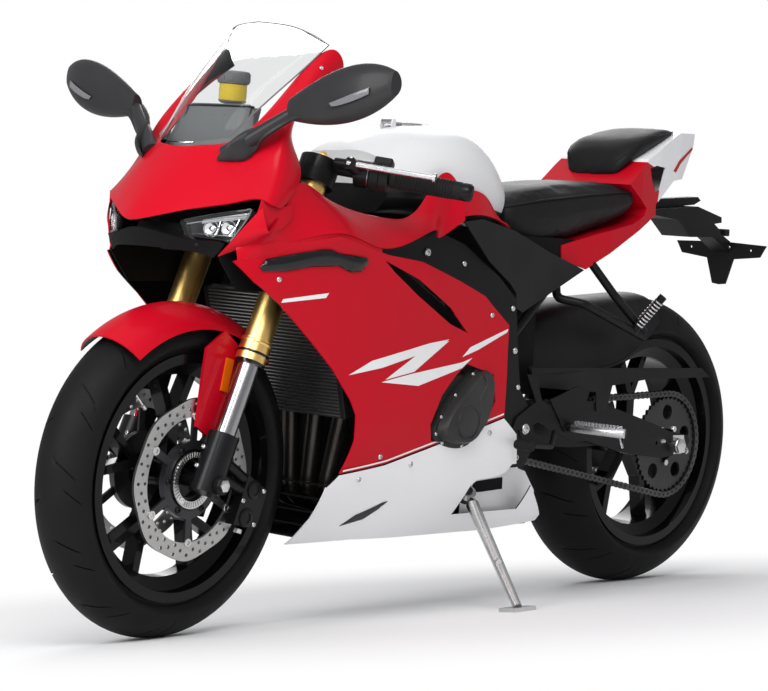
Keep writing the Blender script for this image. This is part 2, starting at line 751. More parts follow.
def split_paint(tree, shader, planes, behind, ahead_colour):
    """Two colours over a surface: the second wherever a plane's far side is reached."""
    coordinates = tree.nodes.new("ShaderNodeTexCoord")
    masks = []
    for way, point in planes:
        turned_way = (BIKE.to_3x3() @ way).normalized()
        dot = vector_maths(tree, "DOT_PRODUCT", coordinates, "Object", turned_way)
        place = turned_way.dot(BIKE @ point)
        masks.append(ranged(tree, dot, "Value", from_low=place - PAINT_BLUR,
                            from_high=place + PAINT_BLUR))
    either = maths(tree, "MAXIMUM", (masks[0], "Result"), (masks[-1], "Result"))
    two_colours(tree, shader, either, "Value", behind, ahead_colour)
    shader.inputs["Coat Weight"].default_value = SPLIT_COAT
    shader.inputs["Coat Roughness"].default_value = COAT_ROUGHNESS
    shader.inputs["Specular IOR Level"].default_value = SPLIT_COAT
    relief(tree, shader, noise(tree, texture_place(tree), 800.0), "Fac", PAINT_DEPTH_MM)
    uneven_shine(tree, shader, *SPLIT_ROUGHNESS, 20.0)


def two_tone(name):
    """The tail is white above its slot and red ahead; the tank is black at its nose."""
    result, tree, shader = new_finish(name)
    look = bpy.context.scene.bike_look
    if name == "tail_paint":
        planes = ((UP * 0.96 - AHEAD * 0.28, at(0.082, 0, 0.815)),
                  (-AHEAD - UP * 0.15, at(0.048, 0, 0.780)))
        split_paint(tree, shader, planes, look.red, look.white)
    else:
        planes = ((AHEAD * 0.12 - UP, at(0.640, 0, 0.742)),)
        shaded = tuple(channel * TANK_SHADE for channel in look.white)
        split_paint(tree, shader, planes, shaded, TANK_NOSE_BLACK)
    return result


SPECIAL_FINISHES = {"front_disc_finish": disc_finish, "rear_disc_finish": disc_finish,
                    "tail_paint": two_tone, "tank_paint": two_tone, "fairing_skin": skin_paint,
                    "nose_skin": skin_paint, "belly_skin": skin_paint, "fender_skin": skin_paint}
PAINTS = {"red_paint": "red", "white_paint": "white"}
NODE_FINISHES = {"front_discs": "front_disc_finish", "rear_disc": "rear_disc_finish",
                 "tail_cowl": "tail_paint", "fuel_tank": "tank_paint",
                 "side_fairings": "fairing_skin", "upper_fairings": "fairing_skin",
                 "nose_cowl": "nose_skin", "belly_panels": "belly_skin",
                 "front_fender": "fender_skin", "nose_duct": "deep_black",
                 "fork_feet": "caliper_black", "triple_clamps": "black_frame",
                 "mirrors": "satin_black", "instrument_panel": "dash_grey", "rear_sprocket": "dark_steel"}


def finish_nodes():
    """Every CAD node gets the finish of its slot, or one of its own."""
    slots = {row["node"]: row["material_slot"] for row in frame["record"]["subparts"]}
    for node, obj in frame["nodes"].items():
        finish = material(NODE_FINISHES.get(node, slots[node]))
        if not obj.material_slots:
            obj.data.materials.append(finish)
        for slot in obj.material_slots:
            slot.material = finish


# Wheels and tyres

# The tread: two kinds of groove, one long and one near the shoulder
TREAD_ROWS = 44
GROOVE_REACH_SHARES = ((0.16, 0.70), (0.45, 0.86))
GROOVE_END_SHARE = 0.05
GROOVE_WIDTH = 0.0042
GROOVE_WIDTH_SHARES = (1.0, 0.8)
GROOVE_START_SHARES = (0.0, 0.25)
GROOVE_EDGE = 0.0008
WIDEST_COLUMN = 0.03
SWEEP, SWEEP_CURVE, SWEEP_BACK = 0.20, 1.4, 0.05
WALL_SHARES = (0.18, 0.36, 0.52, 0.68, 0.84, 1.0)
WALL_BULGE = 0.0022
WALL_CURVE = 2.2
BEAD_LIP = 0.004


def tread_depth(across, column, kind):
    """How deep the tread is cut at a place of the grid, as a share."""
    low, high = GROOVE_REACH_SHARES[kind]
    if column not in (1, 2) or not low < abs(across) < high:
        return 0.0
    near = min(abs(across) - low, high - abs(across))
    return min(near / GROOVE_END_SHARE, 1.0)


def tyre_profile(sizes):
    """A tyre's cross section: place across, radius, share of the half tread, and the way out."""
    radius, half, crown, bead = sizes
    lean = math.asin(min(half / crown, 1.0))
    rows = []
    for step in range(TREAD_ROWS + 1):
        across = -1 + 2 * step / TREAD_ROWS
        angle = lean * across
        rows.append((crown * math.sin(angle), radius - crown + crown * math.cos(angle), across,
                     Vector((math.sin(angle), math.cos(angle)))))
    shoulder = radius - crown + crown * math.cos(lean)
    wall = []
    for share in WALL_SHARES:
        y = half + WALL_BULGE * math.sin(math.pi * share) - (half - bead) * share ** WALL_CURVE
        wall.append((y, shoulder + (BEAD_RADIUS - shoulder) * share))
    wall += [(bead, SEAT_RADIUS + BEAD_LIP), (bead - BEAD_LIP, SEAT_RADIUS)]
    right = [(-y, z, -1.0, Vector((-1, 0))) for y, z in reversed(wall)]
    left = [(y, z, 1.0, Vector((1, 0))) for y, z in wall]
    return right + rows + left


def tread_columns(radius, pitch):
    """One pitch of the tread: each column's angle, its side, its place in a groove and which."""
    edge = GROOVE_EDGE / radius
    columns = []
    for half_pitch, side in ((0.0, 1), (0.5, -1)):
        for kind, width_share in enumerate(GROOVE_WIDTH_SHARES):
            start = half_pitch * pitch + pitch * GROOVE_START_SHARES[kind]
            width = GROOVE_WIDTH / radius * width_share
            for column, place in enumerate((0, edge, width - edge, width)):
                columns.append((start + place, side, column, kind))
    columns.sort()
    filled = []
    for index, entry in enumerate(columns):
        filled.append(entry)
        after = columns[index + 1][0] if index + 1 < len(columns) else pitch
        gap = after - entry[0]
        if gap > WIDEST_COLUMN:
            filled += [(entry[0] + gap * extra / 3, 0, 0, 0) for extra in (1, 2)]
    return filled


def tyre_shape(centre, sizes, pitches, depth):
    """A tyre with swept grooves cut in its tread."""
    pitch = math.tau / pitches
    profile = tyre_profile(sizes)
    pattern = tread_columns(sizes[0], pitch)
    points = []
    for count in range(pitches):
        for offset, side, column, kind in pattern:
            for y, z, across, out in profile:
                sweep = SWEEP * abs(across) ** SWEEP_CURVE - SWEEP_BACK
                cut = 0.0
                if side and across * side > 0:
                    cut = depth * tread_depth(across, column, kind)
                angle = count * pitch + offset + sweep
                radius = z - out.y * cut
                points.append(centre + Vector((radius * math.sin(angle), y - out.x * cut,
                                               radius * math.cos(angle))))
    rows, columns = len(profile), pitches * len(pattern)
    faces = []
    for column in range(columns):
        after = (column + 1) % columns
        for row in range(rows):
            below = (row + 1) % rows
            faces.append((column * rows + row, column * rows + below, after * rows + below,
                          after * rows + row))
    return points, faces


def build_tyres(look):
    """Both tyres, which stand for the plain tyre solids."""
    piece("front_tyre_tread", "front_wheel", "tyre_rubber",
          tyre_shape(FRONT_AXLE, FRONT_TYRE, look.grooves, look.groove_depth),
          replaces=("front_tyre",), sharp=50)
    piece("rear_tyre_tread", "rear_wheel", "tyre_rubber",
          tyre_shape(REAR_AXLE, REAR_TYRE, look.grooves, look.groove_depth),
          replaces=("rear_tyre",), sharp=50)


# Turned parts are profiles of (distance along, radius)
BOBBIN = ((0, 0.0085), (0.0022, 0.0085), (0.003, 0.0075), (0.003, 0.004), (0.001, 0.0035))
CARRIER_SCREW_CIRCLE = 0.062
SENSOR_RADIUS = 0.046
SENSOR_TOOTH = (0.0045, 0.0011, 0.0016)
SENSOR_RING = ((0, 0.053), (0.0025, 0.053), (0.0025, 0.0395), (0, 0.0395))
VALVE_FOOT, VALVE_TIP = 0.186, 0.160
VALVE_ANGLE = 34


def angles(count, start=0.0):
    """That many even angles round a circle, in degrees."""
    return [360.0 / count * index + start for index in range(count)]


def build_wheels():
    """Disc bobbins, carrier screws, the sensor ring and the tyre valves."""
    bobbins, screws, ring = [], [], []
    face = FRONT_DISC_PLACE + DISC_HALF
    for angle in angles(6):
        spot = FRONT_AXLE + wheel_point(FRONT_DISC_RADIUS - DISC_BAND, angle, face)
        bobbins.append(turned(BOBBIN, spot, ACROSS, 20))
        spot = FRONT_AXLE + wheel_point(CARRIER_SCREW_CIRCLE, angle + 30, face)
        screws.append(screw(spot, ACROSS, 0.0065))
    for angle in angles(48):
        radial = wheel_point(1, angle)
        ring.append(block(FRONT_AXLE + wheel_point(SENSOR_RADIUS, angle, face + 0.005),
                          SENSOR_TOOTH, (radial, ACROSS, radial.cross(ACROSS))))
    ring.append(turned(SENSOR_RING, FRONT_AXLE + ACROSS * (face + 0.0022), ACROSS, 64, ring=True))
    piece("disc_bobbins", "front_wheel", "bright_steel", both(gathered(bobbins)))
    piece("carrier_screws", "front_wheel", "caliper_black", both(gathered(screws)))
    piece("sensor_ring", "front_wheel", "bright_steel", gathered(ring))
    rear_bits = []
    for angle in angles(5):
        spot = REAR_AXLE + wheel_point(0.060, angle, -REAR_DISC_PLACE - DISC_HALF)
        rear_bits.append(screw(spot, -ACROSS, 0.006))
        spot = REAR_AXLE + wheel_point(0.040, angle + 36, CHAIN_PLACE + 0.0035)
        rear_bits.append(hexagon(spot, ACROSS, 0.0075, 0.006))
    piece("rear_wheel_screws", "rear_wheel", "bright_steel", gathered(rear_bits))
    for name, axle, body in (("front_valve", FRONT_AXLE, "front_wheel"),
                             ("rear_valve", REAR_AXLE, "rear_wheel")):
        start = axle + wheel_point(VALVE_FOOT, VALVE_ANGLE, 0.012)
        end = axle + wheel_point(VALVE_TIP, VALVE_ANGLE, 0.020)
        piece(name, body, "bright_steel", gathered([
            rod(start, end, 0.0026), rod(end, end + (end - start) * 0.35, 0.0038)]))


FORK_SIDE = 0.107
FORK_TOP = 0.640
CLAMP_PLACES = (0.455, 0.590)
CLAMP_SCREW_STEPS = (0.006, 0.019)
FOOT_SCREW_PLACES = (0.022, 0.058)
FORK_SCREW = 0.005
FORK_CAP = ((0, 0.0235), (0.004, 0.0235), (0.006, 0.021), (0.006, 0.012))
TUBE_BEAD = ((0, 0.0294), (0.003, 0.0302), (0.006, 0.0294), (0.006, 0.0288), (0, 0.0288))
TUBE_BAND = ((0, 0.0298), (0.0025, 0.0304), (0.005, 0.0298), (0.005, 0.0292), (0, 0.0292))
DUST_SEAL = ((0, 0.0262), (0.006, 0.0275), (0.007, 0.0262), (0.007, 0.0205), (0, 0.0205))
STEM_WASHER = ((0, 0.026), (0.003, 0.026), (0.003, 0.014), (0, 0.014))


def build_fork():
    """Pinch bolts, adjusters, wiper rings and clamp screws."""
    bolts = []
    for place in CLAMP_PLACES:
        for step in CLAMP_SCREW_STEPS:
            start = leg(place + step, FORK_SIDE - 0.018, 0.033)
            bolts.append(screw(start + STEER_AHEAD * 0.0035, STEER_AHEAD, FORK_SCREW))
    for place in FOOT_SCREW_PLACES:
        bolts.append(screw(leg(place, FORK_SIDE - 0.012, 0.0285), STEER_AHEAD, FORK_SCREW))
    bolts.append(hexagon(FRONT_AXLE + ACROSS * (FORK_SIDE + 0.0405), ACROSS, 0.012, 0.005))
    gold = [turned(FORK_CAP, leg(FORK_TOP, FORK_SIDE), STEER_UP, 32),
            hexagon(leg(FORK_TOP + 0.010, FORK_SIDE), STEER_UP, 0.009, 0.006),
            turned(TUBE_BEAD, leg(0.268, FORK_SIDE), STEER_UP, 48, ring=True)]
    black = [turned(TUBE_BAND, leg(0.248, FORK_SIDE), STEER_UP, 48, ring=True),
             turned(DUST_SEAL, leg(0.229, FORK_SIDE), STEER_UP, 48, ring=True)]
    piece("fork_bolts", "steering", "bright_steel", both(gathered(bolts)))
    piece("fork_caps", "steering", "gold_anodised", both(gathered(gold)))
    piece("fork_wipers", "steering", "gloss_black", both(gathered(black)))
    piece("stem_nut", "steering", "bright_aluminium", gathered([
        hexagon(STEER_FOOT + STEER_UP * 0.616, STEER_UP, 0.021, 0.008),
        turned(STEM_WASHER, STEER_FOOT + STEER_UP * 0.6155, STEER_UP, 32, ring=True)]))


CALIPER_ANGLE, REAR_CALIPER_ANGLE = 250, 15
CALIPER_LENGTH = 0.096
PISTON_SHARES = (-0.28, 0.28)
PISTON = ((0, 0.018), (0.003, 0.0175), (0.004, 0.016), (0.004, 0.010), (0.002, 0.0095))
CALIPER_BOLT_SHARES = (-0.3375, 0.0, 0.3375)


def build_brakes():
    """Caliper pistons and bolts, front and rear."""
    out = wheel_point(1, CALIPER_ANGLE)
    way = out.cross(ACROSS)
    pistons = []
    for share in PISTON_SHARES:
        middle = FRONT_AXLE + out * 0.142 + way * (CALIPER_LENGTH * share)
        pistons.append(turned(PISTON, middle + ACROSS * (FRONT_DISC_PLACE + 0.0295), ACROSS, 32))
    bolts = []
    for share in CALIPER_BOLT_SHARES:
        middle = FRONT_AXLE + out * (0.168 if share else 0.120) + way * (CALIPER_LENGTH * share)
        bolts.append(screw(middle + ACROSS * (FRONT_DISC_PLACE + 0.030), ACROSS, 0.005))
    spot = FRONT_AXLE + out * 0.150 + way * 0.049
    bolts.append(hexagon(spot + ACROSS * (FRONT_DISC_PLACE + 0.014), way, 0.008, 0.008))
    piece("caliper_pistons", "steering", "caliper_black", both(gathered(pistons)))
    piece("caliper_bolts", "steering", "bright_steel", both(gathered(bolts)))
    rear = wheel_point(1, REAR_CALIPER_ANGLE)
    along = rear.cross(ACROSS)
    rear_bolts = [screw(REAR_AXLE + rear * 0.108 + along * (0.022 * side)
                        - ACROSS * (REAR_DISC_PLACE + 0.0265), -ACROSS, 0.005)
                  for side in (-1, 1)]
    piece("rear_caliper_bolts", "chassis", "bright_steel", gathered(rear_bolts))


CLIP_ON_LOW = 0.6163
BAR_END_SHARES = (0.735, 1.50, 0.755)
GRIP_LENGTH = 0.130
RIB_PITCH = 0.0055
GRIP_RIB = ((0, 0.0172), (0.0006, 0.0184), (0.0018, 0.0184), (0.0024, 0.0172))
BAR_WEIGHT = ((0.003, 0.010), (0.003, 0.0165), (0.012, 0.0175), (0.020, 0.0165),
              (0.024, 0.013), (0.024, 0.005))
LEVER_ROOT, LEVER_REACH = 0.054, 0.044
PERCH_CLAMP = ((-0.014, 0.022), (-0.013, 0.0252), (0.012, 0.0252), (0.013, 0.022))
SWITCH_SHELL = ((-0.019, 0.0245), (-0.017, 0.0262), (-0.001, 0.0262), (0.0, 0.0248),
                (0.001, 0.0262), (0.015, 0.0262), (0.017, 0.0245))
SWITCH_BOX = (0.0175, 0.0145, 0.0150)
# Each button's place along the bar, its place up from the middle, and its size
BUTTONS = ((-0.008, 0.010, 0.0045), (0.004, 0.012, 0.004), (0.000, -0.006, 0.006))
POT_SHARES = (0.7472, -0.9345, 0.8713)
POT_GLASS = ((0.002, 0.0240), (0.002, 0.0268), (0.020, 0.0272), (0.038, 0.0268),
             (0.038, 0.0240))
POT_FOOT = ((-0.004, 0.008), (-0.001, 0.0225), (0.0030, 0.0278), (0.005, 0.0278),
            (0.005, 0.010))
POT_CAP = ((0.036, 0.027), (0.038, 0.0305), (0.042, 0.0318), (0.058, 0.0318),
           (0.061, 0.0300), (0.0625, 0.022), (0.0625, 0.004))
CAP_RIB = (0.0016, 0.0042, 0.0075)


def build_bars():
    """Grips with ribs, bar ends, switches, lever screws and the fluid pot."""
    centre = (leg(CLIP_ON_LOW, FORK_SIDE) + leg(FORK_TOP, FORK_SIDE)) / 2
    end = at(*BAR_END_SHARES)
    way = (end - centre).normalized()
    grip_start = end - way * GRIP_LENGTH
    ribs = [turned(GRIP_RIB, grip_start + way * (0.010 + RIB_PITCH * count), way, 24)
            for count in range(20)]
    piece("grip_ribs", "steering", "grip_rubber", both(gathered(ribs)))
    piece("bar_ends", "steering", "caliper_black", both(turned(BAR_WEIGHT, end, way, 32)))
    build_switches(grip_start, way)
    root = grip_start - way * LEVER_ROOT
    knee = root + STEER_AHEAD * LEVER_REACH
    back = root - STEER_AHEAD * 0.0235
    bolts = [screw(knee + STEER_UP * 0.010, STEER_UP, 0.006),
             screw(back + way * 0.006, -STEER_AHEAD, 0.004),
             screw(back - way * 0.006, -STEER_AHEAD, 0.004)]
    piece("lever_screws", "steering", "bright_steel", both(gathered(bolts)))
    perch = gathered([
        turned(PERCH_CLAMP, root, way, 32),
        rod(root + STEER_AHEAD * 0.012, knee + STEER_AHEAD * 0.004, 0.0135),
        rod(knee - way * 0.004 - STEER_AHEAD * 0.006,
            knee - way * 0.034 - STEER_AHEAD * 0.010, 0.0105)])
    piece("lever_perches", "steering", "caliper_black", both(perch))
    build_fluid_pot(Vector((knee.x, -knee.y, knee.z)) + STEER_AHEAD * 0.010)


def build_switches(grip_start, way):
    """A clamped shell, its box and three buttons beside each grip."""
    out = way.cross(STEER_UP).normalized()
    rise = out.cross(way).normalized()
    middle = grip_start - way * 0.0205
    buttons = []
    for along, up_place, size in BUTTONS:
        spot = middle + way * along - out * 0.019 + rise * (up_place + 0.014)
        buttons.append(block(spot, (size, 0.006, size * 0.8), (way, out, rise)))
    piece("switch_shells", "steering", "black_plastic", both(turned(SWITCH_SHELL, middle, way, 32)))
    box = block(middle + rise * 0.022 - out * 0.004, SWITCH_BOX, (way, out, rise))
    piece("switch_boxes", "steering", "black_plastic", both(box), bevel=0.004)
    piece("switch_buttons", "steering", "smoke_lens", both(gathered(buttons)), bevel=0.0008)


def build_fluid_pot(seat):
    """The brake fluid's pot on its stalk, with a ribbed cap."""
    low_pot = seat + STEER_UP * 0.068
    base = at(*POT_SHARES)
    stalk = tube(smooth_line([low_pot, low_pot + STEER_UP * 0.012, base - UP * 0.014,
                              base - UP * 0.002], 4), 0.006, 12)
    cap = [turned(POT_CAP, base, UP, 40)]
    for angle in angles(12):
        out = Matrix.Rotation(math.radians(angle), 3, UP) @ -AHEAD
        cap.append(block(base + UP * 0.050 + out * 0.0312, CAP_RIB, (out, out.cross(UP), UP)))
    piece("fluid_pot", "steering", "fluid", turned(POT_GLASS, base, UP, 40))
    piece("fluid_pot_cap", "steering", "dash_grey",
          gathered(cap + [turned(POT_FOOT, base, UP, 32), stalk]))


# Front of the bodywork

LAMP_SHARES = (((1.046, 0.38, 0.674), (1.020, 0.60, 0.687), (0.993, 0.79, 0.697)),
               ((1.044, 0.38, 0.656), (1.026, 0.55, 0.653), (1.011, 0.69, 0.651)))


def lamp_point(along, down, depth=0.0):
    """A point on a headlamp's lens, or behind it."""
    rows = []
    for row in LAMP_SHARES:
        first, middle, last = [at(*shares) for shares in row]
        rows.append(first * ((1 - along) * (1 - 2 * along)) + middle * (4 * along * (1 - along))
                    + last * (along * (2 * along - 1)))
    return rows[0] + (rows[1] - rows[0]) * down - AHEAD * depth


LAMP_DEPTH = 0.0128
BOWL_PLACE_SHARES = (0.42, 0.74)
BOWL_RADIUS = 0.015
# Distance along, and share of the bowl's radius
BOWL = ((0, 0.3), (0.0005, 0.7), (0.0026, 0.92), (0.0034, 0.95), (0.0034, 1.0),
        (-0.0008, 0.97))
BOWL_LENS = ((0.001, 0.34), (0.003, 0.32), (0.0042, 0.2), (0.0046, 0.08))
# Height and length of the duct's lining, then also the half width of its mouth
NOSE_LINER_SHARES = ((0.748, 1.000), (0.720, 1.010), (0.690, 1.012), (0.650, 1.010),
                     (0.628, 1.000))
NOSE_LINER_WIDTH_SHARE = 0.74
DUCT_MOUTH_SHARES = ((0.672, 1.046, 0.30), (0.655, 1.038, 0.42), (0.640, 1.032, 0.50))
CHEEK_SHARES = (((0.988, 0.868, 0.716), (0.970, 0.880, 0.711), (0.952, 0.882, 0.706),
                 (0.935, 0.874, 0.712)),
                ((0.992, 0.842, 0.690), (0.972, 0.858, 0.672), (0.952, 0.872, 0.672),
                 (0.932, 0.876, 0.690)))
SEAM_SHARES = ((1.004, 0.640), (0.973, 0.650), (0.946, 0.657), (0.919, 0.667), (0.890, 0.675),
               (0.860, 0.678), (0.826, 0.666), (0.800, 0.655), (0.775, 0.646))
SEAM_SINK = 0.0015
CHEEK_LINER_SHARES = ((0.900, 0.570), (0.985, 0.570), (1.018, 0.618), (1.018, 0.650),
                      (0.900, 0.660))
STRUT_SHARES = ((1.044, 0.36, 0.676), (1.038, 0.40, 0.655), (1.034, 0.48, 0.640))
SCREEN_SIDE_SHARES = ((0.972, 0.39, 0.807), (0.906, 0.47, 0.878), (0.866, 0.535, 0.922),
                      (0.828, 0.59, 0.966))
SCREEN_TOP_SHARES = ((0.828, 0.59, 0.966), (0.852, 0.33, 0.993), (0.862, 0.0, 1.000))
SCREEN_EDGE_LIFT = 0.0054
SCREEN_SCREW_SHARES = ((0.852, 0.932), (0.889, 0.884))


def build_lamps():
    """Each headlamp's back, bowls, bars, light strip and surround."""
    steps = [index / 12 for index in range(13)]
    back = loft([[lamp_point(t, down, LAMP_DEPTH) for t in steps] for down in (0.0, 0.35, 0.7, 1.0)],
                closed_rows=False)
    piece("lamp_backs", "chassis", "gloss_black", both(back), thickness=0.0008)
    bowls = []
    facing = AHEAD * 0.9 + ACROSS * 0.3
    for place in BOWL_PLACE_SHARES:
        centre = lamp_point(place, 0.58, 0.0088)
        bowl = [(along, BOWL_RADIUS * share) for along, share in BOWL]
        lens = [(along, BOWL_RADIUS * share) for along, share in BOWL_LENS]
        bowls += [turned(bowl, centre, facing, 32), turned(lens, centre, facing, 24)]
    bars = [tube([lamp_point(t, 0.12, 0.0045) for t in steps], 0.0011, 8),
            tube([lamp_point(t * 0.9 + 0.05, 0.88, 0.0045) for t in steps], 0.0008, 8)]
    for place in (0.58, 0.90):
        bars.append(tube(smooth_line([lamp_point(place - 0.03, 0.26, 0.004),
                                      lamp_point(place, 0.55, 0.003),
                                      lamp_point(place - 0.02, 0.88, 0.004)], 6), 0.0013, 8))
    piece("lamp_bowls", "chassis", "reflector_metal", both(gathered(bowls)))
    piece("lamp_bars", "chassis", "reflector_metal", both(gathered(bars)))
    strips = loft([[lamp_point(0.25 + t * 0.75, down, 0.0052 - 0.003 * down) for t in steps]
                   for down in (0.03, 0.15, 0.27)], closed_rows=False)
    piece("lamp_strips", "chassis", "lamp_grey", both(strips), thickness=0.0010)
    rim = [lamp_point(t, 0.0, 0.002) + UP * 0.0026 for t in steps]
    rim += [lamp_point(1.0, down, 0.002) - AHEAD * 0.001 + ACROSS * 0.0028 for down in (0.3, 0.7)]
    rim += [lamp_point(t, 1.0, 0.002) - UP * 0.0022 for t in reversed(steps)]
    piece("lamp_surrounds", "chassis", "gloss_black", both(tube(smooth_line(rim, 2), 0.0034, 8)))


def build_nose():
    """Linings and struts of the air duct, panels beside the lamps, and the screen's edge."""
    rows = []
    for sz, sx in NOSE_LINER_SHARES:
        row = []
        for step in range(17):
            y = -1 + step / 8
            pull = 0.155 * max(abs(y) * 0.86 - 0.12, 0) ** 1.3
            row.append(at(sx - pull, y * NOSE_LINER_WIDTH_SHARE, sz))
        rows.append(row)
    piece("nose_liner", "chassis", "deep_black", loft(rows, closed_rows=False), thickness=0.002)
    mouth = []
    for sz, sx, half in DUCT_MOUTH_SHARES:
        mouth.append([at(sx - 0.030 * (-1 + step / 6) ** 2, half * (-1 + step / 6), sz)
                      for step in range(13)])
    piece("duct_mouth", "chassis", "deep_black", loft(mouth, closed_rows=False),
          thickness=0.002)
    cheek = between([[at(*shares) for shares in row] for row in CHEEK_SHARES], 4, 4)
    piece("cheek_panels", "chassis", "red_paint", both(loft(cheek, closed_rows=False)),
          thickness=0.002)
    seam = []
    for sx, sz in SEAM_SHARES:
        high = on_side("upper_fairings", sx, sz)[0] - ACROSS * SEAM_SINK
        low = on_side("side_fairings", sx, sz - 0.026)[0] - ACROSS * SEAM_SINK
        seam.append([high, (high + low) / 2 + ACROSS * 0.001, low])
    piece("seam_panels", "chassis", "red_paint",
          both(loft(between(seam, 4, 2), closed_rows=False)), thickness=0.0015)
    piece("cheek_liners", "chassis", "deep_black",
          both(side_slab(CHEEK_LINER_SHARES, 0.62, 0.63)), bevel=0.0005)
    struts = [tube([at(sx, sy * side, sz) for sx, sy, sz in STRUT_SHARES], 0.006, 10)
              for side in (1, -1)]
    piece("duct_struts", "chassis", "black_plastic", gathered(struts))
    edge = smooth_line([at(*shares) for shares in SCREEN_SIDE_SHARES], 8)
    top = smooth_line([at(*shares) for shares in SCREEN_TOP_SHARES], 8)
    border = [point + (AHEAD + UP) * SCREEN_EDGE_LIFT for point in edge + top[1:]]
    piece("screen_edge", "chassis", "smoke_lens",
          both(tube(hugging("windscreen", border), 0.0016, 8)))
    piece("screen_screws", "chassis", "bright_aluminium",
          both(side_screws("nose_cowl", SCREEN_SCREW_SHARES, 0.0042)))


# The mirror arm's stations: its lower and upper edge, and half its thickness
MIRROR_ARM = (((1.000, 0.43, 0.7735), (1.001, 0.43, 0.7785), 0.0015),
              ((0.988, 0.52, 0.7735), (0.998, 0.53, 0.8010), 0.005),
              ((0.975, 0.59, 0.7760), (0.9805, 0.58, 0.8210), 0.008),
              ((0.9645, 0.64, 0.7930), (0.9603, 0.64, 0.8330), 0.008),
              ((0.9686, 0.72, 0.8110), (0.9469, 0.72, 0.8440), 0.007),
              ((0.9568, 0.90, 0.8380), (0.9326, 0.90, 0.8624), 0.007),
              ((0.9550, 1.04, 0.8470), (0.9330, 1.04, 0.8720), 0.006))


MIRROR_INNER_SHARES, MIRROR_OUTER_SHARES = (0.945, 0.88, 0.860), (0.925, 1.85, 0.905)
MIRROR_DEPTH = 0.0286
MIRROR_HALF_HEIGHT = 0.036
MIRROR_GLASS_SHARES = ((0.12, 0.52), (0.3, 0.74), (0.5, 0.84), (0.7, 0.82), (0.88, 0.58),
                       (0.94, 0.44))
MIRROR_LENS_SHARES = (((0.957, 1.36, 0.871), (0.956, 1.45, 0.877), (0.950, 1.60, 0.889),
                       (0.947, 1.70, 0.897)),
                      ((0.957, 1.38, 0.866), (0.956, 1.45, 0.868), (0.950, 1.60, 0.878),
                       (0.947, 1.70, 0.887)))


def build_mirrors():
    """Each mirror's arm, its glass behind and its lens ahead."""
    start, end = at(*MIRROR_INNER_SHARES), at(*MIRROR_OUTER_SHARES)
    glass = []
    for share, size in MIRROR_GLASS_SHARES:
        middle = start + (end - start) * share - AHEAD * MIRROR_DEPTH * size
        half = UP * MIRROR_HALF_HEIGHT * size
        glass.append([middle + half, middle - AHEAD * 0.0016, middle - half])
    piece("mirror_glass", "chassis", "mirror_glass", both(loft(glass, closed_rows=False)),
          thickness=0.0012)
    lens = between([[at(*shares) for shares in row] for row in MIRROR_LENS_SHARES], 4, 8)
    lens = [hugging("mirrors", row, 0.0032) for row in lens]
    piece("mirror_lenses", "chassis", "smoke_lens", both(loft(lens, closed_rows=False)),
          thickness=0.0020)
    rows = []
    last = len(MIRROR_ARM) - 1
    for index, (low_share, high_share, half) in enumerate(MIRROR_ARM):
        low, high = at(*low_share), at(*high_share)
        before, after = MIRROR_ARM[max(index - 1, 0)], MIRROR_ARM[min(index + 1, last)]
        way = at(*after[0]) - at(*before[0])
        out = way.cross(high - low).normalized() * half
        middle, rise = (low + high) / 2, (high - low) / 2
        rows.append([middle + rise * math.cos(math.tau * step / 16)
                     + out * math.sin(math.tau * step / 16) for step in range(16)])
    piece("mirror_arms", "chassis", "satin_black", both(loft(between(rows, 4, 1))))


PANEL_GAP = 0.0008
# Outlines on the panel: share of its half width or place across, and share of its height
DASH_RIM = ((1, 0.9), (1, 0.1), (0.88, -0.02), (-0.88, -0.02), (-1, 0.1), (-1, 0.9),
            (-0.88, 1.02), (0.88, 1.02), (1, 0.9))
DISPLAY = ((0.062, 0.10), (-0.062, 0.10), (-0.066, 0.5), (-0.062, 0.90), (0.062, 0.90),
           (0.066, 0.5))
SHROUD_SHARES = ((0.52, 0.768), (0.50, 0.792), (0.41, 0.846), (0.38, 0.860), (0.32, 0.866))


def build_dash():
    """The instrument panel's rounded rim, its shroud, screws and display."""
    top, low = at(0.930, 0, 0.861), at(0.945, 0, 0.800)
    down = low - top
    out = ACROSS.cross(down).normalized()
    if out.x < 0:
        out = -out
    half = ACROSS * (0.36 * HALF_WIDTH)
    rim = [top + down * along + half * across + out * PANEL_GAP for across, along in DASH_RIM]
    piece("dash_rim", "chassis", "black_plastic", tube(smooth_line(rim, 5), 0.0022, 8))
    edge = [at(0.928 + (0.862 - sz) * 0.33, sy, sz)
            for sy, sz in SHROUD_SHARES + tuple((-sy, sz) for sy, sz in reversed(SHROUD_SHARES))]
    piece("dash_shroud", "chassis", "dash_grey", slab(edge, out * 0.003), bevel=0.001)
    display = [top + down * along + ACROSS * y - out * 0.0252 for y, along in DISPLAY]
    piece("dash_display", "chassis", "dark_screen", slab(display, out * 0.002), bevel=0.0006)
    screws = [screw(top + down * 0.22 + ACROSS * (side * 0.018) + out * PANEL_GAP, out, 0.0026)
              for side in (1, -1)]
    piece("dash_screws", "chassis", "caliper_black", gathered(screws))


# Side bodywork


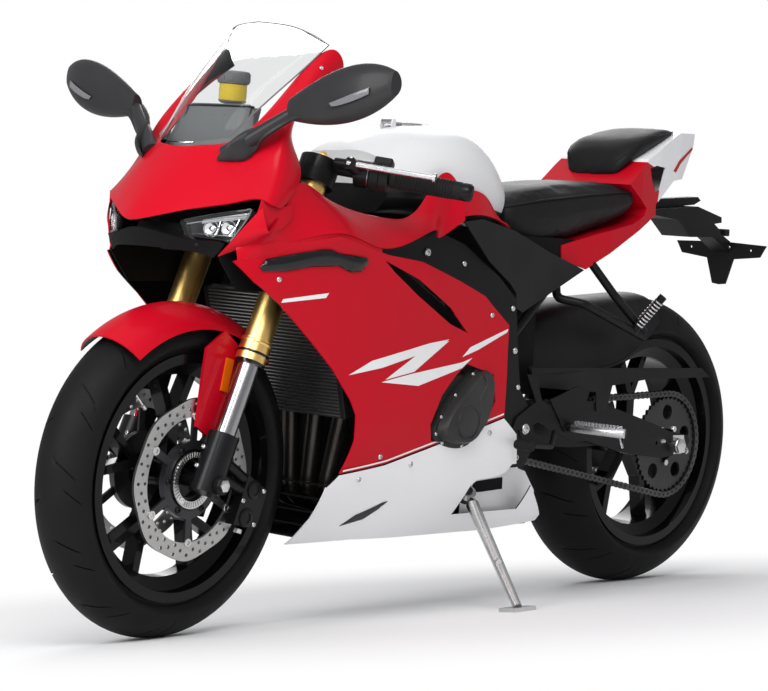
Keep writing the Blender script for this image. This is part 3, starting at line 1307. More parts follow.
SLASH_SHARES = (
    ((0.812, 0.438), (0.769, 0.461), (0.655, 0.489), (0.615, 0.495), (0.636, 0.481),
     (0.748, 0.449)),
    ((0.655, 0.486), (0.615, 0.492), (0.682, 0.441), (0.740, 0.429)),
    ((0.748, 0.425), (0.690, 0.437), (0.581, 0.455), (0.560, 0.462), (0.580, 0.445),
     (0.671, 0.417)),
)
TAG_SHARES = ((0.939, 0.555), (0.936, 0.561), (0.861, 0.572), (0.865, 0.564))
REAR_FLASH_SHARES = ((0.582, 0.464), (0.566, 0.481), (0.486, 0.512), (0.487, 0.506),
                     (0.549, 0.476))
INSERT_SHARES = ((0.975, 0.611), (0.965, 0.623), (0.930, 0.632), (0.884, 0.642),
                 (0.869, 0.642), (0.854, 0.636), (0.808, 0.631), (0.802, 0.624),
                 (0.813, 0.609), (0.830, 0.607), (0.853, 0.617), (0.898, 0.614),
                 (0.936, 0.606), (0.971, 0.605))
BELLY_EDGE_SHARES = ((0.801, 0.279), (0.721, 0.292), (0.628, 0.318), (0.478, 0.362))
BELLY_SLIT_SHARES = ((0.748, 0.176), (0.734, 0.196), (0.697, 0.217), (0.688, 0.219),
                     (0.700, 0.205), (0.716, 0.188))
FAIRING_SCREW_SHARES = ((0.527, 0.536), (0.945, 0.592), (0.735, 0.300))
BELLY_SCREW_SHARES = ((0.665, 0.283), (0.763, 0.262), (0.506, 0.330))
FENDER_SCREW_SHARES = ((0.9475, 0.388), (0.966, 0.346))
PANEL_SCREW = 0.0055


def side_screws(node, places_shares, radius):
    """Screws standing on a node's side."""
    screws = []
    for sx, sz in places_shares:
        place, normal = on_side(node, sx, sz)
        screws.append(screw(place, normal, radius))
    return gathered(screws)


def build_graphics():
    """Plain angular stripes on the side, and the line above the belly."""
    for side, word in ((1, "left"), (-1, "right")):
        marks = [laid("side_fairings", outline, side)
                 for outline in SLASH_SHARES + (TAG_SHARES, REAR_FLASH_SHARES)]
        marks.append(laid("side_fairings", stripe(BELLY_EDGE_SHARES, 0.0016), side))
        piece("side_stripes_" + word, "chassis", "stripe_white", gathered(marks),
              thickness=0.0004)
        insert = laid("side_fairings", INSERT_SHARES, side, lift=0.0015, cell=0.008, dome=0.006)
        piece("side_inserts_" + word, "chassis", "gloss_black", insert,
              thickness=0.003)
        slit = laid("belly_panels", BELLY_SLIT_SHARES, side, lift=0.0008, cell=0.008)
        piece("belly_slits_" + word, "chassis", "gloss_black", slit,
              thickness=0.0006)
    screws = gathered([side_screws("side_fairings", FAIRING_SCREW_SHARES, PANEL_SCREW),
                       side_screws("belly_panels", BELLY_SCREW_SHARES, PANEL_SCREW)])
    piece("fairing_screws", "chassis", "bright_steel", both(screws))
    screws = side_screws("front_fender", FENDER_SCREW_SHARES, PANEL_SCREW)
    piece("fender_screws", "steering", "bright_steel", both(screws))


VENT_LINER_SHARES = ((0.780, 0.640), (0.690, 0.618), (0.600, 0.560), (0.545, 0.520),
                     (0.545, 0.480), (0.620, 0.490), (0.700, 0.540), (0.775, 0.600))
INNER_LINER_SHARES = ((0.250, 0.620), (0.250, 0.668), (0.420, 0.675), (0.550, 0.685),
                      (0.570, 0.655), (0.470, 0.600), (0.400, 0.540), (0.400, 0.385),
                      (0.335, 0.385), (0.335, 0.550), (0.330, 0.610))
BELLY_WALL_SHARES = ((0.498, 0.243), (0.4375, 0.268), (0.3864, 0.258), (0.3554, 0.247),
                     (0.3315, 0.211), (0.3300, 0.175), (0.500, 0.175))
BELLY_SLOT_SHARES = ((0.4708, 0.235), (0.4078, 0.239), (0.4073, 0.218), (0.4537, 0.2155),
                     (0.4805, 0.2155))


def build_liners():
    """Dark sheets behind the openings of the side panels."""
    piece("vent_liners", "chassis", "deep_black",
          both(side_slab(VENT_LINER_SHARES, 0.655, 0.665)), bevel=0.0005)
    piece("inner_liners", "chassis", "deep_black",
          both(side_slab(INNER_LINER_SHARES, 0.450, 0.460)), bevel=0.0005)
    piece("belly_walls", "chassis", "white_paint", side_slab(BELLY_WALL_SHARES, 0.530, 0.540),
          bevel=0.001)
    piece("belly_slot", "chassis", "deep_black", side_slab(BELLY_SLOT_SHARES, 0.540, 0.545))


# Engine, frame and running gear

COVER_SHARES = ((0.5209, 0.4495), (0.5073, 0.4358), (0.5064, 0.3958), (0.5162, 0.3559),
                (0.5332, 0.3299), (0.5525, 0.3100), (0.5810, 0.3060), (0.6186, 0.3172),
                (0.6255, 0.3307), (0.6195, 0.3534), (0.5990, 0.3853), (0.5724, 0.4141),
                (0.5414, 0.4431))
COVER_WIDTH_SHARE = 0.86
# How far each step of the cover draws in, and its place across
COVER_STEP_SHARES = ((1.0, 0.70), (1.0, 0.845), (0.985, 0.855), (0.90, 0.855),
                     (0.885, 0.862), (0.86, 0.915), (0.80, 0.940), (0.55, 0.950),
                     (0.25, 0.952))
COVER_RING = ((0, 0.033), (0.0024, 0.0322), (0.0024, 0.0300), (0, 0.0296))
COVER_BEND = ((-0.036, 0, 0.014), (-0.030, 0, 0.045), (-0.046, 0, 0.072), (-0.040, 0, 0.092))
CLUTCH_SCREW_CIRCLE = 0.075
CLUTCH_RING = ((0, 0.030), (0.0025, 0.0296), (0.0025, 0.0258), (0, 0.0254))
RADIATOR_ROWS = 34
# Each bolt's length and height share, and its radius
FRAME_BOLTS = ((0.404, 0.330, 0.012), (0.640, 0.640, 0.009), (0.437, 0.470, 0.007),
               (0.447, 0.545, 0.006), (0.560, 0.622, 0.006), (0.425, 0.405, 0.006),
               (0.420, 0.280, 0.007))
PIVOT_CAP = ((0, 0.019), (0.002, 0.0185), (0.002, 0.013), (0, 0.0125))
CHAIN_PIN_REACH = 0.008
PIN_HEAD = ((-0.0005, 0.0029), (0.0012, 0.0029), (0.0017, 0.0022), (0.0017, 0.0008))


def build_covers():
    """The engine covers' shell, rings and screws."""
    screws, rings = [], []
    centre = at(0.545, 0, 0.340)
    for angle in angles(9, 12):
        spot = centre - ACROSS * (HALF_WIDTH * 0.72) + wheel_point(CLUTCH_SCREW_CIRCLE, angle)
        screws.append(screw(spot, -ACROSS, 0.0048))
    rings.append(turned(CLUTCH_RING, centre - ACROSS * (HALF_WIDTH * 0.80), -ACROSS, 48,
                        ring=True))
    outline = smooth_line([at(sx, COVER_WIDTH_SHARE, sz)
                           for sx, sz in COVER_SHARES + COVER_SHARES[:1]], 4)[:-1]
    middle = sum(outline, Vector()) / len(outline)
    rows = []
    for shrink, width_share in COVER_STEP_SHARES:
        push = ACROSS * (HALF_WIDTH * (width_share - COVER_WIDTH_SHARE))
        rows.append([middle + (point - middle) * shrink + push for point in outline])
    piece("cover_shell", "chassis", "engine_black", loft(rows), sharp=30)
    for point in outline[2::5]:
        spot = middle + (point - middle) * 0.94
        screws.append(screw(spot - ACROSS * (HALF_WIDTH * 0.005), ACROSS, 0.0042))
    hub = middle + Vector((0.012, HALF_WIDTH * 0.088, -0.022))
    rings.append(turned(COVER_RING, hub, ACROSS, 48, ring=True))
    bend = [hub + Vector(step) for step in COVER_BEND]
    rings.append(tube(smooth_line(bend, 6), 0.0022, 8))
    piece("cover_screws", "chassis", "bright_steel", gathered(screws))
    piece("cover_rings", "chassis", "engine_black", gathered(rings), bevel=0.0005)


def build_radiator():
    """The radiator's rows of tubes between its end tanks."""
    low, high = at(0.785, 0, 0.362), at(0.825, 0, 0.560)
    up = (high - low).normalized()
    out = Vector((up.z, 0, -up.x))
    half = HALF_WIDTH * 0.74
    tubes = []
    for index in range(RADIATOR_ROWS):
        share = (index + 0.7) / (RADIATOR_ROWS + 0.4)
        tubes.append(block(low + (high - low) * share + out * 0.0008,
                           (0.0012, half - 0.012, 0.0011), (out, ACROSS, up)))
    tanks = [block((low + high) / 2 + ACROSS * (side * (half - 0.006)) - out * 0.006,
                   (0.0085, 0.0062, (high - low).length / 2 + 0.0004), (out, ACROSS, up))
             for side in (-1, 1)]
    piece("radiator_tubes", "chassis", "radiator_tube", gathered(tubes))
    piece("radiator_tanks", "chassis", "black_plastic", gathered(tanks), bevel=0.002)


def build_frame_bolts():
    """Bolts along the frame and the caps of the swingarm's pivot."""
    face = ACROSS * (HALF_WIDTH * 0.74)
    bolts = [screw(at(sx, 0, sz) + face, ACROSS, radius) for sx, sz, radius in FRAME_BOLTS]
    piece("frame_bolts", "chassis", "bright_steel", both(gathered(bolts)))
    cap = turned(PIVOT_CAP, at(0.404, 0, 0.330) + face, ACROSS, 40, ring=True)
    piece("pivot_caps", "chassis", "black_frame", both(cap))


def chain_pins():
    """The chain's pin centres round both sprockets."""
    small = at(*SMALL_SPROCKET_SHARES)
    way = small - REAR_AXLE
    base = math.atan2(way.z, way.x)
    tilt = math.acos((SPROCKET_RADIUS - SMALL_SPROCKET_RADIUS) / way.length)
    run = way.length * math.sin(tilt)
    upper, lower = base + tilt, base - tilt
    legs = ((run, (REAR_AXLE, SPROCKET_RADIUS, upper), (small, SMALL_SPROCKET_RADIUS, upper)),
            (SMALL_SPROCKET_RADIUS * tilt * 2, (small, SMALL_SPROCKET_RADIUS, upper),
             (small, SMALL_SPROCKET_RADIUS, lower)),
            (run, (small, SMALL_SPROCKET_RADIUS, lower), (REAR_AXLE, SPROCKET_RADIUS, lower)),
            (SPROCKET_RADIUS * (math.pi - tilt) * 2, (REAR_AXLE, SPROCKET_RADIUS, lower),
             (REAR_AXLE, SPROCKET_RADIUS, upper - math.tau)))
    total = sum(row[0] for row in legs)
    count = round(total / CHAIN_PITCH)
    pins = []
    for step in range(count):
        place = total * step / count
        for length, start, end in legs:
            if place <= length:
                break
            place -= length
        share = place / length
        angle = start[2] + (end[2] - start[2]) * share
        out = Vector((math.cos(angle), 0, math.sin(angle)))
        radius = start[1] + (end[1] - start[1]) * share
        pins.append(start[0] + (end[0] - start[0]) * share + out * radius)
    return pins


def build_chain():
    """Riveted pin heads on every link."""
    heads = []
    for pin in chain_pins():
        for side in (1, -1):
            spot = pin + ACROSS * (CHAIN_PLACE + side * CHAIN_PIN_REACH)
            heads.append(turned(PIN_HEAD, spot, ACROSS * side, 12))
    piece("chain_pin_heads", "chassis", "dark_steel", gathered(heads))


def build_swingarm():
    """Axle nuts, chain adjusters and the marks beside them."""
    bits = []
    face = HALF_WIDTH * 0.60
    for side in (1, -1):
        way = ACROSS * side
        bits.append(hexagon(REAR_AXLE + way * (face + 0.0178), way, 0.0165, 0.006))
        tip = REAR_AXLE + Vector((-0.052, 0, -0.014)) + way * (face - 0.012)
        bits.append(rod(tip, tip - Vector((0.018, 0, 0.004)), 0.004))
        bits.append(hexagon(tip - Vector((0.006, 0, 0.0014)), -AHEAD, 0.0085, 0.006))
        for mark in range(5):
            spot = REAR_AXLE + Vector((0.030 + 0.004 * mark, 0, 0.010)) + way * (face + 0.0004)
            bits.append(block(spot, (0.0004, 0.0004, 0.004)))
    piece("axle_hardware", "chassis", "bright_steel", gathered(bits))


# Seats and tail

# Each station of a seat: length, half width, underside and top
RIDER_SHARES = ((0.4130, 0.40, 0.668, 0.733), (0.395, 0.47, 0.658, 0.742),
                (0.340, 0.53, 0.655, 0.757), (0.280, 0.55, 0.664, 0.765),
                (0.220, 0.55, 0.678, 0.771), (0.160, 0.53, 0.698, 0.773),
                (0.118, 0.49, 0.716, 0.770), (0.104, 0.40, 0.732, 0.762))
PASSENGER_SHARES = ((0.1230, 0.30, 0.783, 0.826), (0.112, 0.37, 0.792, 0.842),
                    (0.085, 0.41, 0.815, 0.861), (0.030, 0.39, 0.846, 0.878),
                    (-0.010, 0.33, 0.866, 0.884), (-0.028, 0.25, 0.872, 0.884))
SEAT_SIDE_CURVE, SEAT_TOP_CURVE = 0.55, 0.62
SEAT_TUCK_SHARE = 0.94
SEAM_WIDE_SHARE, SEAM_HIGH_SHARE = 0.93, 0.62
SEAT_VOXEL = 0.006
SEAT_STIFFNESS = 40
SWELL_FRAMES = 20


def seat_rows(table_shares, steps=26):
    """Cross sections of a seat, crowned on top and tucked in at the sides."""
    fine = []
    for column in zip(*table_shares):
        values = smooth_line([Vector((value, 0, 0)) for value in column], 6)
        fine.append([value.x for value in values])
    rows = []
    for sx, half, low, high in zip(*fine):
        row = []
        for step in range(steps):
            angle = math.tau * step / steps
            c, s = math.cos(angle), math.sin(angle)
            y = half * math.copysign(abs(c) ** SEAT_SIDE_CURVE, c)
            rise = math.copysign(abs(s) ** SEAT_TOP_CURVE, s)
            if s < 0:
                y *= SEAT_TUCK_SHARE
            row.append(at(sx, y, (low + high) / 2 + (high - low) / 2 * rise))
        rows.append(row)
    return rows


def swollen(obj, pressure, limit):
    """Lets a padded piece swell as filled cloth does, by no more than a limit."""
    remesh = obj.modifiers.new("even mesh", "REMESH")
    remesh.mode = "VOXEL"
    remesh.voxel_size = SEAT_VOXEL
    graph = bpy.context.evaluated_depsgraph_get()
    even = bpy.data.meshes.new_from_object(obj.evaluated_get(graph))
    trial = bpy.data.objects.new(obj.name + "_trial", even)
    bpy.context.scene.collection.objects.link(trial)
    cloth = trial.modifiers.new("swell", "CLOTH")
    cloth.settings.use_pressure = True
    cloth.settings.uniform_pressure_force = pressure
    cloth.settings.quality = 5
    cloth.settings.tension_stiffness = cloth.settings.compression_stiffness = SEAT_STIFFNESS
    cloth.settings.effector_weights.gravity = 0
    rest = [vertex.co.copy() for vertex in even.vertices]
    for step in range(SWELL_FRAMES):
        bpy.context.scene.frame_set(step + 1)
    graph = bpy.context.evaluated_depsgraph_get()
    result = trial.evaluated_get(graph).to_mesh()
    moved = [vertex.co.copy() for vertex in result.vertices]
    for vertex, before, after in zip(even.vertices, rest, moved):
        step = after - before
        if step.length > limit:
            step *= limit / step.length
        vertex.co = before + step
    bpy.context.scene.frame_set(1)
    bpy.data.objects.remove(trial)
    obj.modifiers.remove(remesh)
    even.materials.clear()
    even.materials.append(obj.data.materials[0])
    even.shade_smooth()
    obj.data = even


def build_seats(look):
    """Both seats: padded blocks with a sewn edge round the top panel."""
    for name, table, node in (("rider_cushion", RIDER_SHARES, "rider_seat"),
                              ("passenger_cushion", PASSENGER_SHARES, "passenger_seat")):
        rows = seat_rows(table)
        seat = piece(name, "chassis", "seat_vinyl", loft(rows), replaces=(node,))
        swollen(seat, look.seat_pressure, look.seat_swell)
        smooth = seat.modifiers.new("smooth", "SUBSURF")
        smooth.levels = smooth.render_levels = 1
        seams = []
        for side in (1, -1):
            edge = []
            for row in rows:
                middle = sum(row, Vector()) / len(row)
                top = max(point.z for point in row)
                wide = max(abs(point.y) for point in row)
                edge.append(Vector((middle.x, side * wide * SEAM_WIDE_SHARE,
                                    middle.z + (top - middle.z) * SEAM_HIGH_SHARE)))
            seams.append(tube(edge, 0.0016, 8))
        piece(name + "_seams", "chassis", "seat_vinyl", gathered(seams))


TAIL_STRIPE_SHARES = ((-0.002, 0.806), (-0.024, 0.828), (-0.078, 0.855), (-0.080, 0.851),
                      (-0.030, 0.822), (-0.012, 0.804))
TAIL_LAMP_SHARES = ((-0.16, 0.880), (0.16, 0.880), (0.20, 0.868), (0.14, 0.852),
                    (-0.14, 0.852), (-0.20, 0.868))


def build_tail():
    """The tail's stripes, its lamp, and the plate holder's screws and lamp."""
    for side, word in ((1, "left"), (-1, "right")):
        piece("tail_stripes_" + word, "chassis", "red_paint",
              laid("tail_cowl", TAIL_STRIPE_SHARES, side, cell=0.01), thickness=0.0004)
    lamp = [at(-0.089, sy, sz) for sy, sz in TAIL_LAMP_SHARES]
    piece("tail_lamp", "chassis", "red_lens", slab(lamp, AHEAD * -0.0035), bevel=0.001)
    bits = [screw(at(-0.2385, side * 0.10, 0.661), AHEAD, 0.004) for side in (-1, 1)]
    piece("holder_screws", "chassis", "bright_steel", gathered(bits))
    piece("plate_lamp", "chassis", "black_plastic",
          block(at(-0.2325, 0, 0.690), (0.009, 0.022, 0.008)), bevel=0.002)


PEG_TOOTH_PITCH = 0.0080
PEG_TOOTH = (0.0020, 0.0024, 0.0034)
PEG_RING = ((0, 0.0092), (0.0008, 0.0108), (0.0036, 0.0108), (0.0044, 0.0092))


def build_footrests():
    """Toothed sleeves on the pegs and a rubber on the gear lever."""
    start, end = at(0.305, 0.80, 0.330), at(0.285, 1.30, 0.328)
    way = (end - start).normalized()
    length = (end - start).length
    first = way.cross(UP).normalized()
    second = first.cross(way).normalized()
    sleeve = [turned([(0, 0.0095), (0.002, 0.0105), (length - 0.002, 0.0105), (length, 0.0095)],
                     start, way, 12)]
    for count in range(13):
        spot = start + way * (0.010 + PEG_TOOTH_PITCH * count) + second * 0.0110
        for turn in (-1, 0, 1):
            sleeve.append(block(spot + first * (0.0065 * turn), PEG_TOOTH, (way, first, second)))
    sleeve.append(rod(end - way * 0.012, end - way * 0.004 - UP * 0.030, 0.003))
    piece("peg_sleeves", "chassis", "bright_aluminium", both(gathered(sleeve)), bevel=0.0004)
    toe = rod(at(0.450, 0.90, 0.308), at(0.450, 1.07, 0.308), 0.0105, 0.002)
    piece("toe_rubbers", "chassis", "grip_rubber", both(toe))
    start, end = at(0.138, 0.68, 0.505), at(0.120, 0.90, 0.570)
    way = (end - start).normalized()
    rings = [turned(PEG_RING, start + way * (0.012 + 0.0078 * count), way, 24)
             for count in range(9)]
    piece("passenger_peg_sleeves", "chassis", "bright_aluminium", both(gathered(rings)))


CAP_SCREW_CIRCLE = 0.037
CAP_LOCK = ((0, 0.010), (0.001, 0.0095), (0.001, 0.004), (0.0005, 0.0038))


def build_tank():
    """The cap's ring of screws and its lock."""
    place = at(0.560, 0, 0.853)
    bits = []
    for angle in angles(6, 30):
        turn = math.radians(angle)
        spot = place + Vector((math.cos(turn), math.sin(turn), 0)) * CAP_SCREW_CIRCLE
        bits.append(screw(spot, UP, 0.0028))
    piece("cap_screws", "filler_cap", "bright_steel", gathered(bits))
    lock = gathered([turned(CAP_LOCK, place + UP * 0.0068 - AHEAD * 0.006, UP, 32),
                     block(place + UP * 0.0076 - AHEAD * 0.006, (0.004, 0.0008, 0.0004))])
    piece("cap_lock", "filler_cap", "bright_steel", lock)


# Stage

WHITE = (1, 1, 1, 1)
SKY_TINT = (0.95, 0.96, 1.0, 1)
FLOOR_REACH = 14.0
FADE_START, FADE_END = 0.75, 1.7
# Each light's name, place, size and share of the key light's power
LIGHTS = (("key", (2.8, 2.8, 3.3), 2.6, 1.0), ("front", (4.2, 0.2, 2.2), 2.0, 0.75),
          ("top", (0.0, 0.3, 4.0), 3.0, 0.10), ("back", (-2.8, -2.6, 2.8), 2.4, 0.5))
LIGHT_AIM = (0, 0, 0.5)
CAMERA_LENS, CAMERA_SENSOR = 120.88, 36.0
CAMERA_PLACE = (4.589, 3.421, 0.854)
# Yaw, pitch and roll
CAMERA_ANGLES = (-137.88, -3.64, 3.18)


def seen_directly(tree):
    """One for what the camera sees, also through glass, and nought for what lights the bike."""
    path = tree.nodes.new("ShaderNodeLightPath")
    return maths(tree, "MAXIMUM", (path, "Is Camera Ray"), (path, "Is Transmission Ray"))


def mixed_shader(tree, share, first, first_out, second, second_out, output):
    """Blends two shaders and hands them to the tree's output node."""
    mix = tree.nodes.new("ShaderNodeMixShader")
    link(tree, share, "Value", mix, "Fac")
    link(tree, first, first_out, mix, 1)
    link(tree, second, second_out, mix, 2)
    link(tree, mix, "Shader", tree.nodes[output], "Surface")


def build_floor(look):
    """A pale floor that keeps the shadow near the bike and fades to white round it."""
    mesh = bpy.data.meshes.new("floor")
    mesh.from_pydata([(x * FLOOR_REACH, y * FLOOR_REACH, 0)
                      for x, y in ((-1, -1), (1, -1), (1, 1), (-1, 1))], [], [(0, 1, 2, 3)])
    floor = bpy.data.objects.new("floor", mesh)
    bpy.context.scene.collection.objects.link(floor)
    paint, tree, shader = new_finish("floor_paint")
    shader.inputs["Roughness"].default_value = 0.8
    colour_drift(tree, shader, tuple(look.floor), 0.005, 3.0)
    glow = tree.nodes.new("ShaderNodeEmission")
    glow.inputs["Color"].default_value = WHITE
    place = tree.nodes.new("ShaderNodeTexCoord")
    far = vector_maths(tree, "LENGTH", place, "Object")
    fade = ranged(tree, far, "Value", from_low=FADE_START, from_high=FADE_END)
    fade.interpolation_type = "SMOOTHSTEP"
    share = maths(tree, "MULTIPLY", (fade, "Result"), (seen_directly(tree), "Value"))
    mixed_shader(tree, share, shader, "BSDF", glow, "Emission", "Material Output")
    mesh.materials.append(paint)


def build_world(look):
    """An even soft light, with a white backdrop for the camera."""
    world = bpy.data.worlds.new("studio")
    bpy.context.scene.world = world
    world.use_nodes = True
    tree = world.node_tree
    back = tree.nodes["Background"]
    back.inputs["Color"].default_value = SKY_TINT
    back.inputs["Strength"].default_value = look.sky
    white = tree.nodes.new("ShaderNodeBackground")
    white.inputs["Color"].default_value = WHITE
    mixed_shader(tree, seen_directly(tree), back, "Background", white, "Background",
                 "World Output")


def build_lights(look):
    """Soft square lights, all aimed at the middle of the bike."""
    for name, spot, size, power_share in LIGHTS:
        lamp = bpy.data.lights.new(name, "AREA")
        lamp.shape = "SQUARE"
        lamp.size = size
        lamp.energy = look.key_light * power_share
        holder = bpy.data.objects.new(name, lamp)
        holder.location = spot
        aim = Vector(LIGHT_AIM) - Vector(spot)
        holder.rotation_euler = aim.to_track_quat("-Z", "Y").to_euler()
        bpy.context.scene.collection.objects.link(holder)


def build_camera():
    """The camera at the photograph's place and angle."""
    camera = bpy.data.cameras.new("camera")
    camera.lens = CAMERA_LENS
    camera.sensor_width = CAMERA_SENSOR
    camera.clip_end = 60.0
    yaw, pitch, roll = [math.radians(angle) for angle in CAMERA_ANGLES]
    look_way = Vector((math.cos(pitch) * math.cos(yaw), math.cos(pitch) * math.sin(yaw),
                       math.sin(pitch)))
    right = look_way.cross(UP).normalized()
    over = right.cross(look_way)
    right_way = right * math.cos(roll) + over * math.sin(roll)
    up_way = over * math.cos(roll) - right * math.sin(roll)
    turn = Matrix((right_way, up_way, -look_way)).transposed().to_4x4()
    holder = bpy.data.objects.new("camera", camera)
    holder.matrix_world = BIKE @ Matrix.Translation(CAMERA_PLACE) @ turn
    bpy.context.scene.collection.objects.link(holder)
    bpy.context.scene.camera = holder
    bpy.context.scene.view_settings.view_transform = "Standard"


class BikeLook(bpy.types.PropertyGroup):
    """Sizes and colours of the bike's finished look."""

    red: FloatVectorProperty(name="Red", description="Colour of the red paint", subtype="COLOR",
                             default=(0.50, 0.003, 0.014), min=0, max=1)
    white: FloatVectorProperty(name="White", description="Colour of the white paint",
                               subtype="COLOR", default=(0.85, 0.85, 0.86), min=0, max=1)
    floor: FloatVectorProperty(name="Floor", description="Colour of the studio floor",
                               subtype="COLOR", default=(0.86, 0.86, 0.86), min=0, max=1)
    grooves: IntProperty(name="Grooves", description="Tread pitches round each tyre", default=13,
                         min=4, max=60)
    groove_depth: FloatProperty(name="Groove depth", description="Depth of the tread grooves",
                                default=0.003, unit="LENGTH", min=0.0005, max=0.008)
    seat_pressure: FloatProperty(name="Seat pressure", description="Filling of the seats",
                                 default=3.0, min=0, max=20)
    seat_swell: FloatProperty(name="Seat swell", description="Most that a seat's skin may move",
                              default=0.004, unit="LENGTH", min=0, max=0.02)
    key_light: FloatProperty(name="Key light", description="Power of the main light", default=125.0,
                             unit="POWER", min=0)
    sky: FloatProperty(name="Sky", description="Strength of the even light", default=0.42, min=0)


class BIKE_OT_finishes(bpy.types.Operator):
    """Put a finish on every CAD node."""

    bl_idname = "bike.finishes"
    bl_label = "Finishes"
    bl_options = {"REGISTER", "UNDO"}

    def execute(self, context):
        finish_nodes()
        return {"FINISHED"}


class BIKE_OT_tyres(bpy.types.Operator):
    """Build both tyres with their tread."""

    bl_idname = "bike.tyres"
    bl_label = "Tyres"
    bl_options = {"REGISTER", "UNDO"}

    def execute(self, context):
        build_tyres(context.scene.bike_look)
        return {"FINISHED"}


class BIKE_OT_wheels(bpy.types.Operator):
    """Add disc bobbins, the sensor ring and valves."""

    bl_idname = "bike.wheels"
    bl_label = "Wheels"
    bl_options = {"REGISTER", "UNDO"}

    def execute(self, context):
        build_wheels()
        return {"FINISHED"}


class BIKE_OT_fork(bpy.types.Operator):
    """Add the fork's bolts, caps and wipers."""

    bl_idname = "bike.fork"
    bl_label = "Fork"
    bl_options = {"REGISTER", "UNDO"}

    def execute(self, context):
        build_fork()
        return {"FINISHED"}


class BIKE_OT_brakes(bpy.types.Operator):
    """Add caliper pistons and bolts."""

    bl_idname = "bike.brakes"
    bl_label = "Brakes"
    bl_options = {"REGISTER", "UNDO"}

    def execute(self, context):
        build_brakes()
        return {"FINISHED"}


class BIKE_OT_bars(bpy.types.Operator):
    """Add grip ribs, switches and the fluid pot."""

    bl_idname = "bike.bars"
    bl_label = "Bars"
    bl_options = {"REGISTER", "UNDO"}

    def execute(self, context):
        build_bars()
        return {"FINISHED"}


class BIKE_OT_nose(bpy.types.Operator):
    """Add what is in the lamps, the nose's linings and the screen's edge."""

    bl_idname = "bike.nose"
    bl_label = "Nose"
    bl_options = {"REGISTER", "UNDO"}

    def execute(self, context):
        build_lamps()
        build_nose()
        return {"FINISHED"}


class BIKE_OT_mirrors(bpy.types.Operator):
    """Add mirror arms, glass and lenses."""

    bl_idname = "bike.mirrors"
    bl_label = "Mirrors"
    bl_options = {"REGISTER", "UNDO"}

    def execute(self, context):
        build_mirrors()
        return {"FINISHED"}


class BIKE_OT_dash(bpy.types.Operator):
    """Add the instrument panel's rim, shroud and display."""

    bl_idname = "bike.dash"
    bl_label = "Dash"
    bl_options = {"REGISTER", "UNDO"}

    def execute(self, context):
        build_dash()
        return {"FINISHED"}


class BIKE_OT_liners(bpy.types.Operator):
    """Add sheets behind the openings."""

    bl_idname = "bike.liners"
    bl_label = "Liners"
    bl_options = {"REGISTER", "UNDO"}

    def execute(self, context):
        build_liners()
        return {"FINISHED"}


class BIKE_OT_graphics(bpy.types.Operator):
    """Lay stripes and inserts on the fairings."""

    bl_idname = "bike.graphics"
    bl_label = "Graphics"
    bl_options = {"REGISTER", "UNDO"}

    def execute(self, context):
        build_graphics()
        return {"FINISHED"}


class BIKE_OT_engine(bpy.types.Operator):
    """Add engine, radiator and frame details."""

    bl_idname = "bike.engine"
    bl_label = "Engine"
    bl_options = {"REGISTER", "UNDO"}

    def execute(self, context):
        build_covers()
        build_radiator()
        build_frame_bolts()
        return {"FINISHED"}


class BIKE_OT_chain(bpy.types.Operator):
    """Rivet the chain."""

    bl_idname = "bike.chain"
    bl_label = "Chain"
    bl_options = {"REGISTER", "UNDO"}

    def execute(self, context):
        build_chain()
        return {"FINISHED"}


class BIKE_OT_swingarm(bpy.types.Operator):
    """Add the rear axle's hardware."""

    bl_idname = "bike.swingarm"
    bl_label = "Swingarm"
    bl_options = {"REGISTER", "UNDO"}

    def execute(self, context):
        build_swingarm()
        return {"FINISHED"}


class BIKE_OT_seats(bpy.types.Operator):
    """Build both padded seats."""

    bl_idname = "bike.seats"
    bl_label = "Seats"
    bl_options = {"REGISTER", "UNDO"}

    def execute(self, context):
        build_seats(context.scene.bike_look)
        return {"FINISHED"}


class BIKE_OT_tail(bpy.types.Operator):
    """Add the tail's stripes and lamps."""

    bl_idname = "bike.tail"
    bl_label = "Tail"
    bl_options = {"REGISTER", "UNDO"}

    def execute(self, context):
        build_tail()
        return {"FINISHED"}


class BIKE_OT_footrests(bpy.types.Operator):
    """Add toothed peg sleeves."""

    bl_idname = "bike.footrests"
    bl_label = "Footrests"
    bl_options = {"REGISTER", "UNDO"}

    def execute(self, context):
        build_footrests()
        return {"FINISHED"}


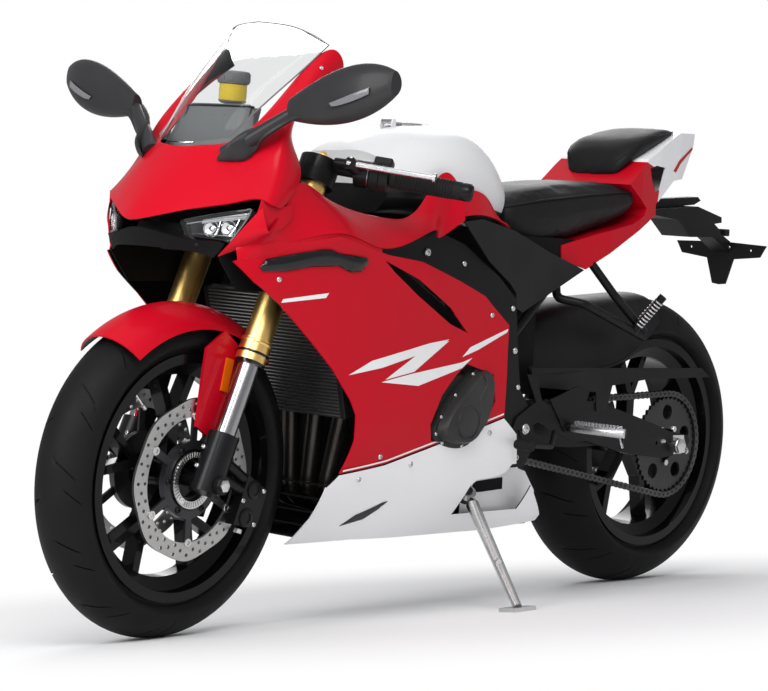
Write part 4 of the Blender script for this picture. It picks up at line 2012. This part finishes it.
class BIKE_OT_tank(bpy.types.Operator):
    """Add the filler cap's screws and lock."""

    bl_idname = "bike.tank"
    bl_label = "Tank"
    bl_options = {"REGISTER", "UNDO"}

    def execute(self, context):
        build_tank()
        return {"FINISHED"}


class BIKE_OT_stage(bpy.types.Operator):
    """Build the floor, lights and camera."""

    bl_idname = "bike.stage"
    bl_label = "Stage"
    bl_options = {"REGISTER", "UNDO"}

    def execute(self, context):
        build_floor(context.scene.bike_look)
        build_world(context.scene.bike_look)
        build_lights(context.scene.bike_look)
        build_camera()
        return {"FINISHED"}


OPERATORS = [BIKE_OT_finishes, BIKE_OT_tyres, BIKE_OT_wheels, BIKE_OT_fork, BIKE_OT_brakes,
             BIKE_OT_bars, BIKE_OT_nose, BIKE_OT_mirrors, BIKE_OT_dash, BIKE_OT_liners,
             BIKE_OT_graphics, BIKE_OT_engine, BIKE_OT_chain, BIKE_OT_swingarm, BIKE_OT_seats,
             BIKE_OT_tail, BIKE_OT_footrests, BIKE_OT_tank, BIKE_OT_stage]


class BIKE_PT_panel(bpy.types.Panel):
    """Lists the bike's pieces and settings."""

    bl_label = "Sport bike"
    bl_space_type = "VIEW_3D"
    bl_region_type = "UI"
    bl_category = "Bike"

    def draw(self, context):
        look = context.scene.bike_look
        for name in look.bl_rna.properties.keys():
            if name not in ("rna_type", "name"):
                self.layout.prop(look, name)
        for entry in OPERATORS:
            self.layout.operator(entry.bl_idname)


CLASSES = [BikeLook] + OPERATORS + [BIKE_PT_panel]


def register():
    """Adds the classes and the settings."""
    for entry in CLASSES:
        bpy.utils.register_class(entry)
    bpy.types.Scene.bike_look = PointerProperty(type=BikeLook)


def unregister():
    """Takes the settings and the classes away again."""
    del bpy.types.Scene.bike_look
    for entry in reversed(CLASSES):
        bpy.utils.unregister_class(entry)


def main():
    """Runs every operator in order."""
    register()
    for entry in OPERATORS:
        word = entry.bl_idname.split(".")[1]
        if getattr(bpy.ops.bike, word)() != {"FINISHED"}:
            raise RuntimeError(entry.bl_label + " did not finish")


if __name__ == "__main__":
    main()
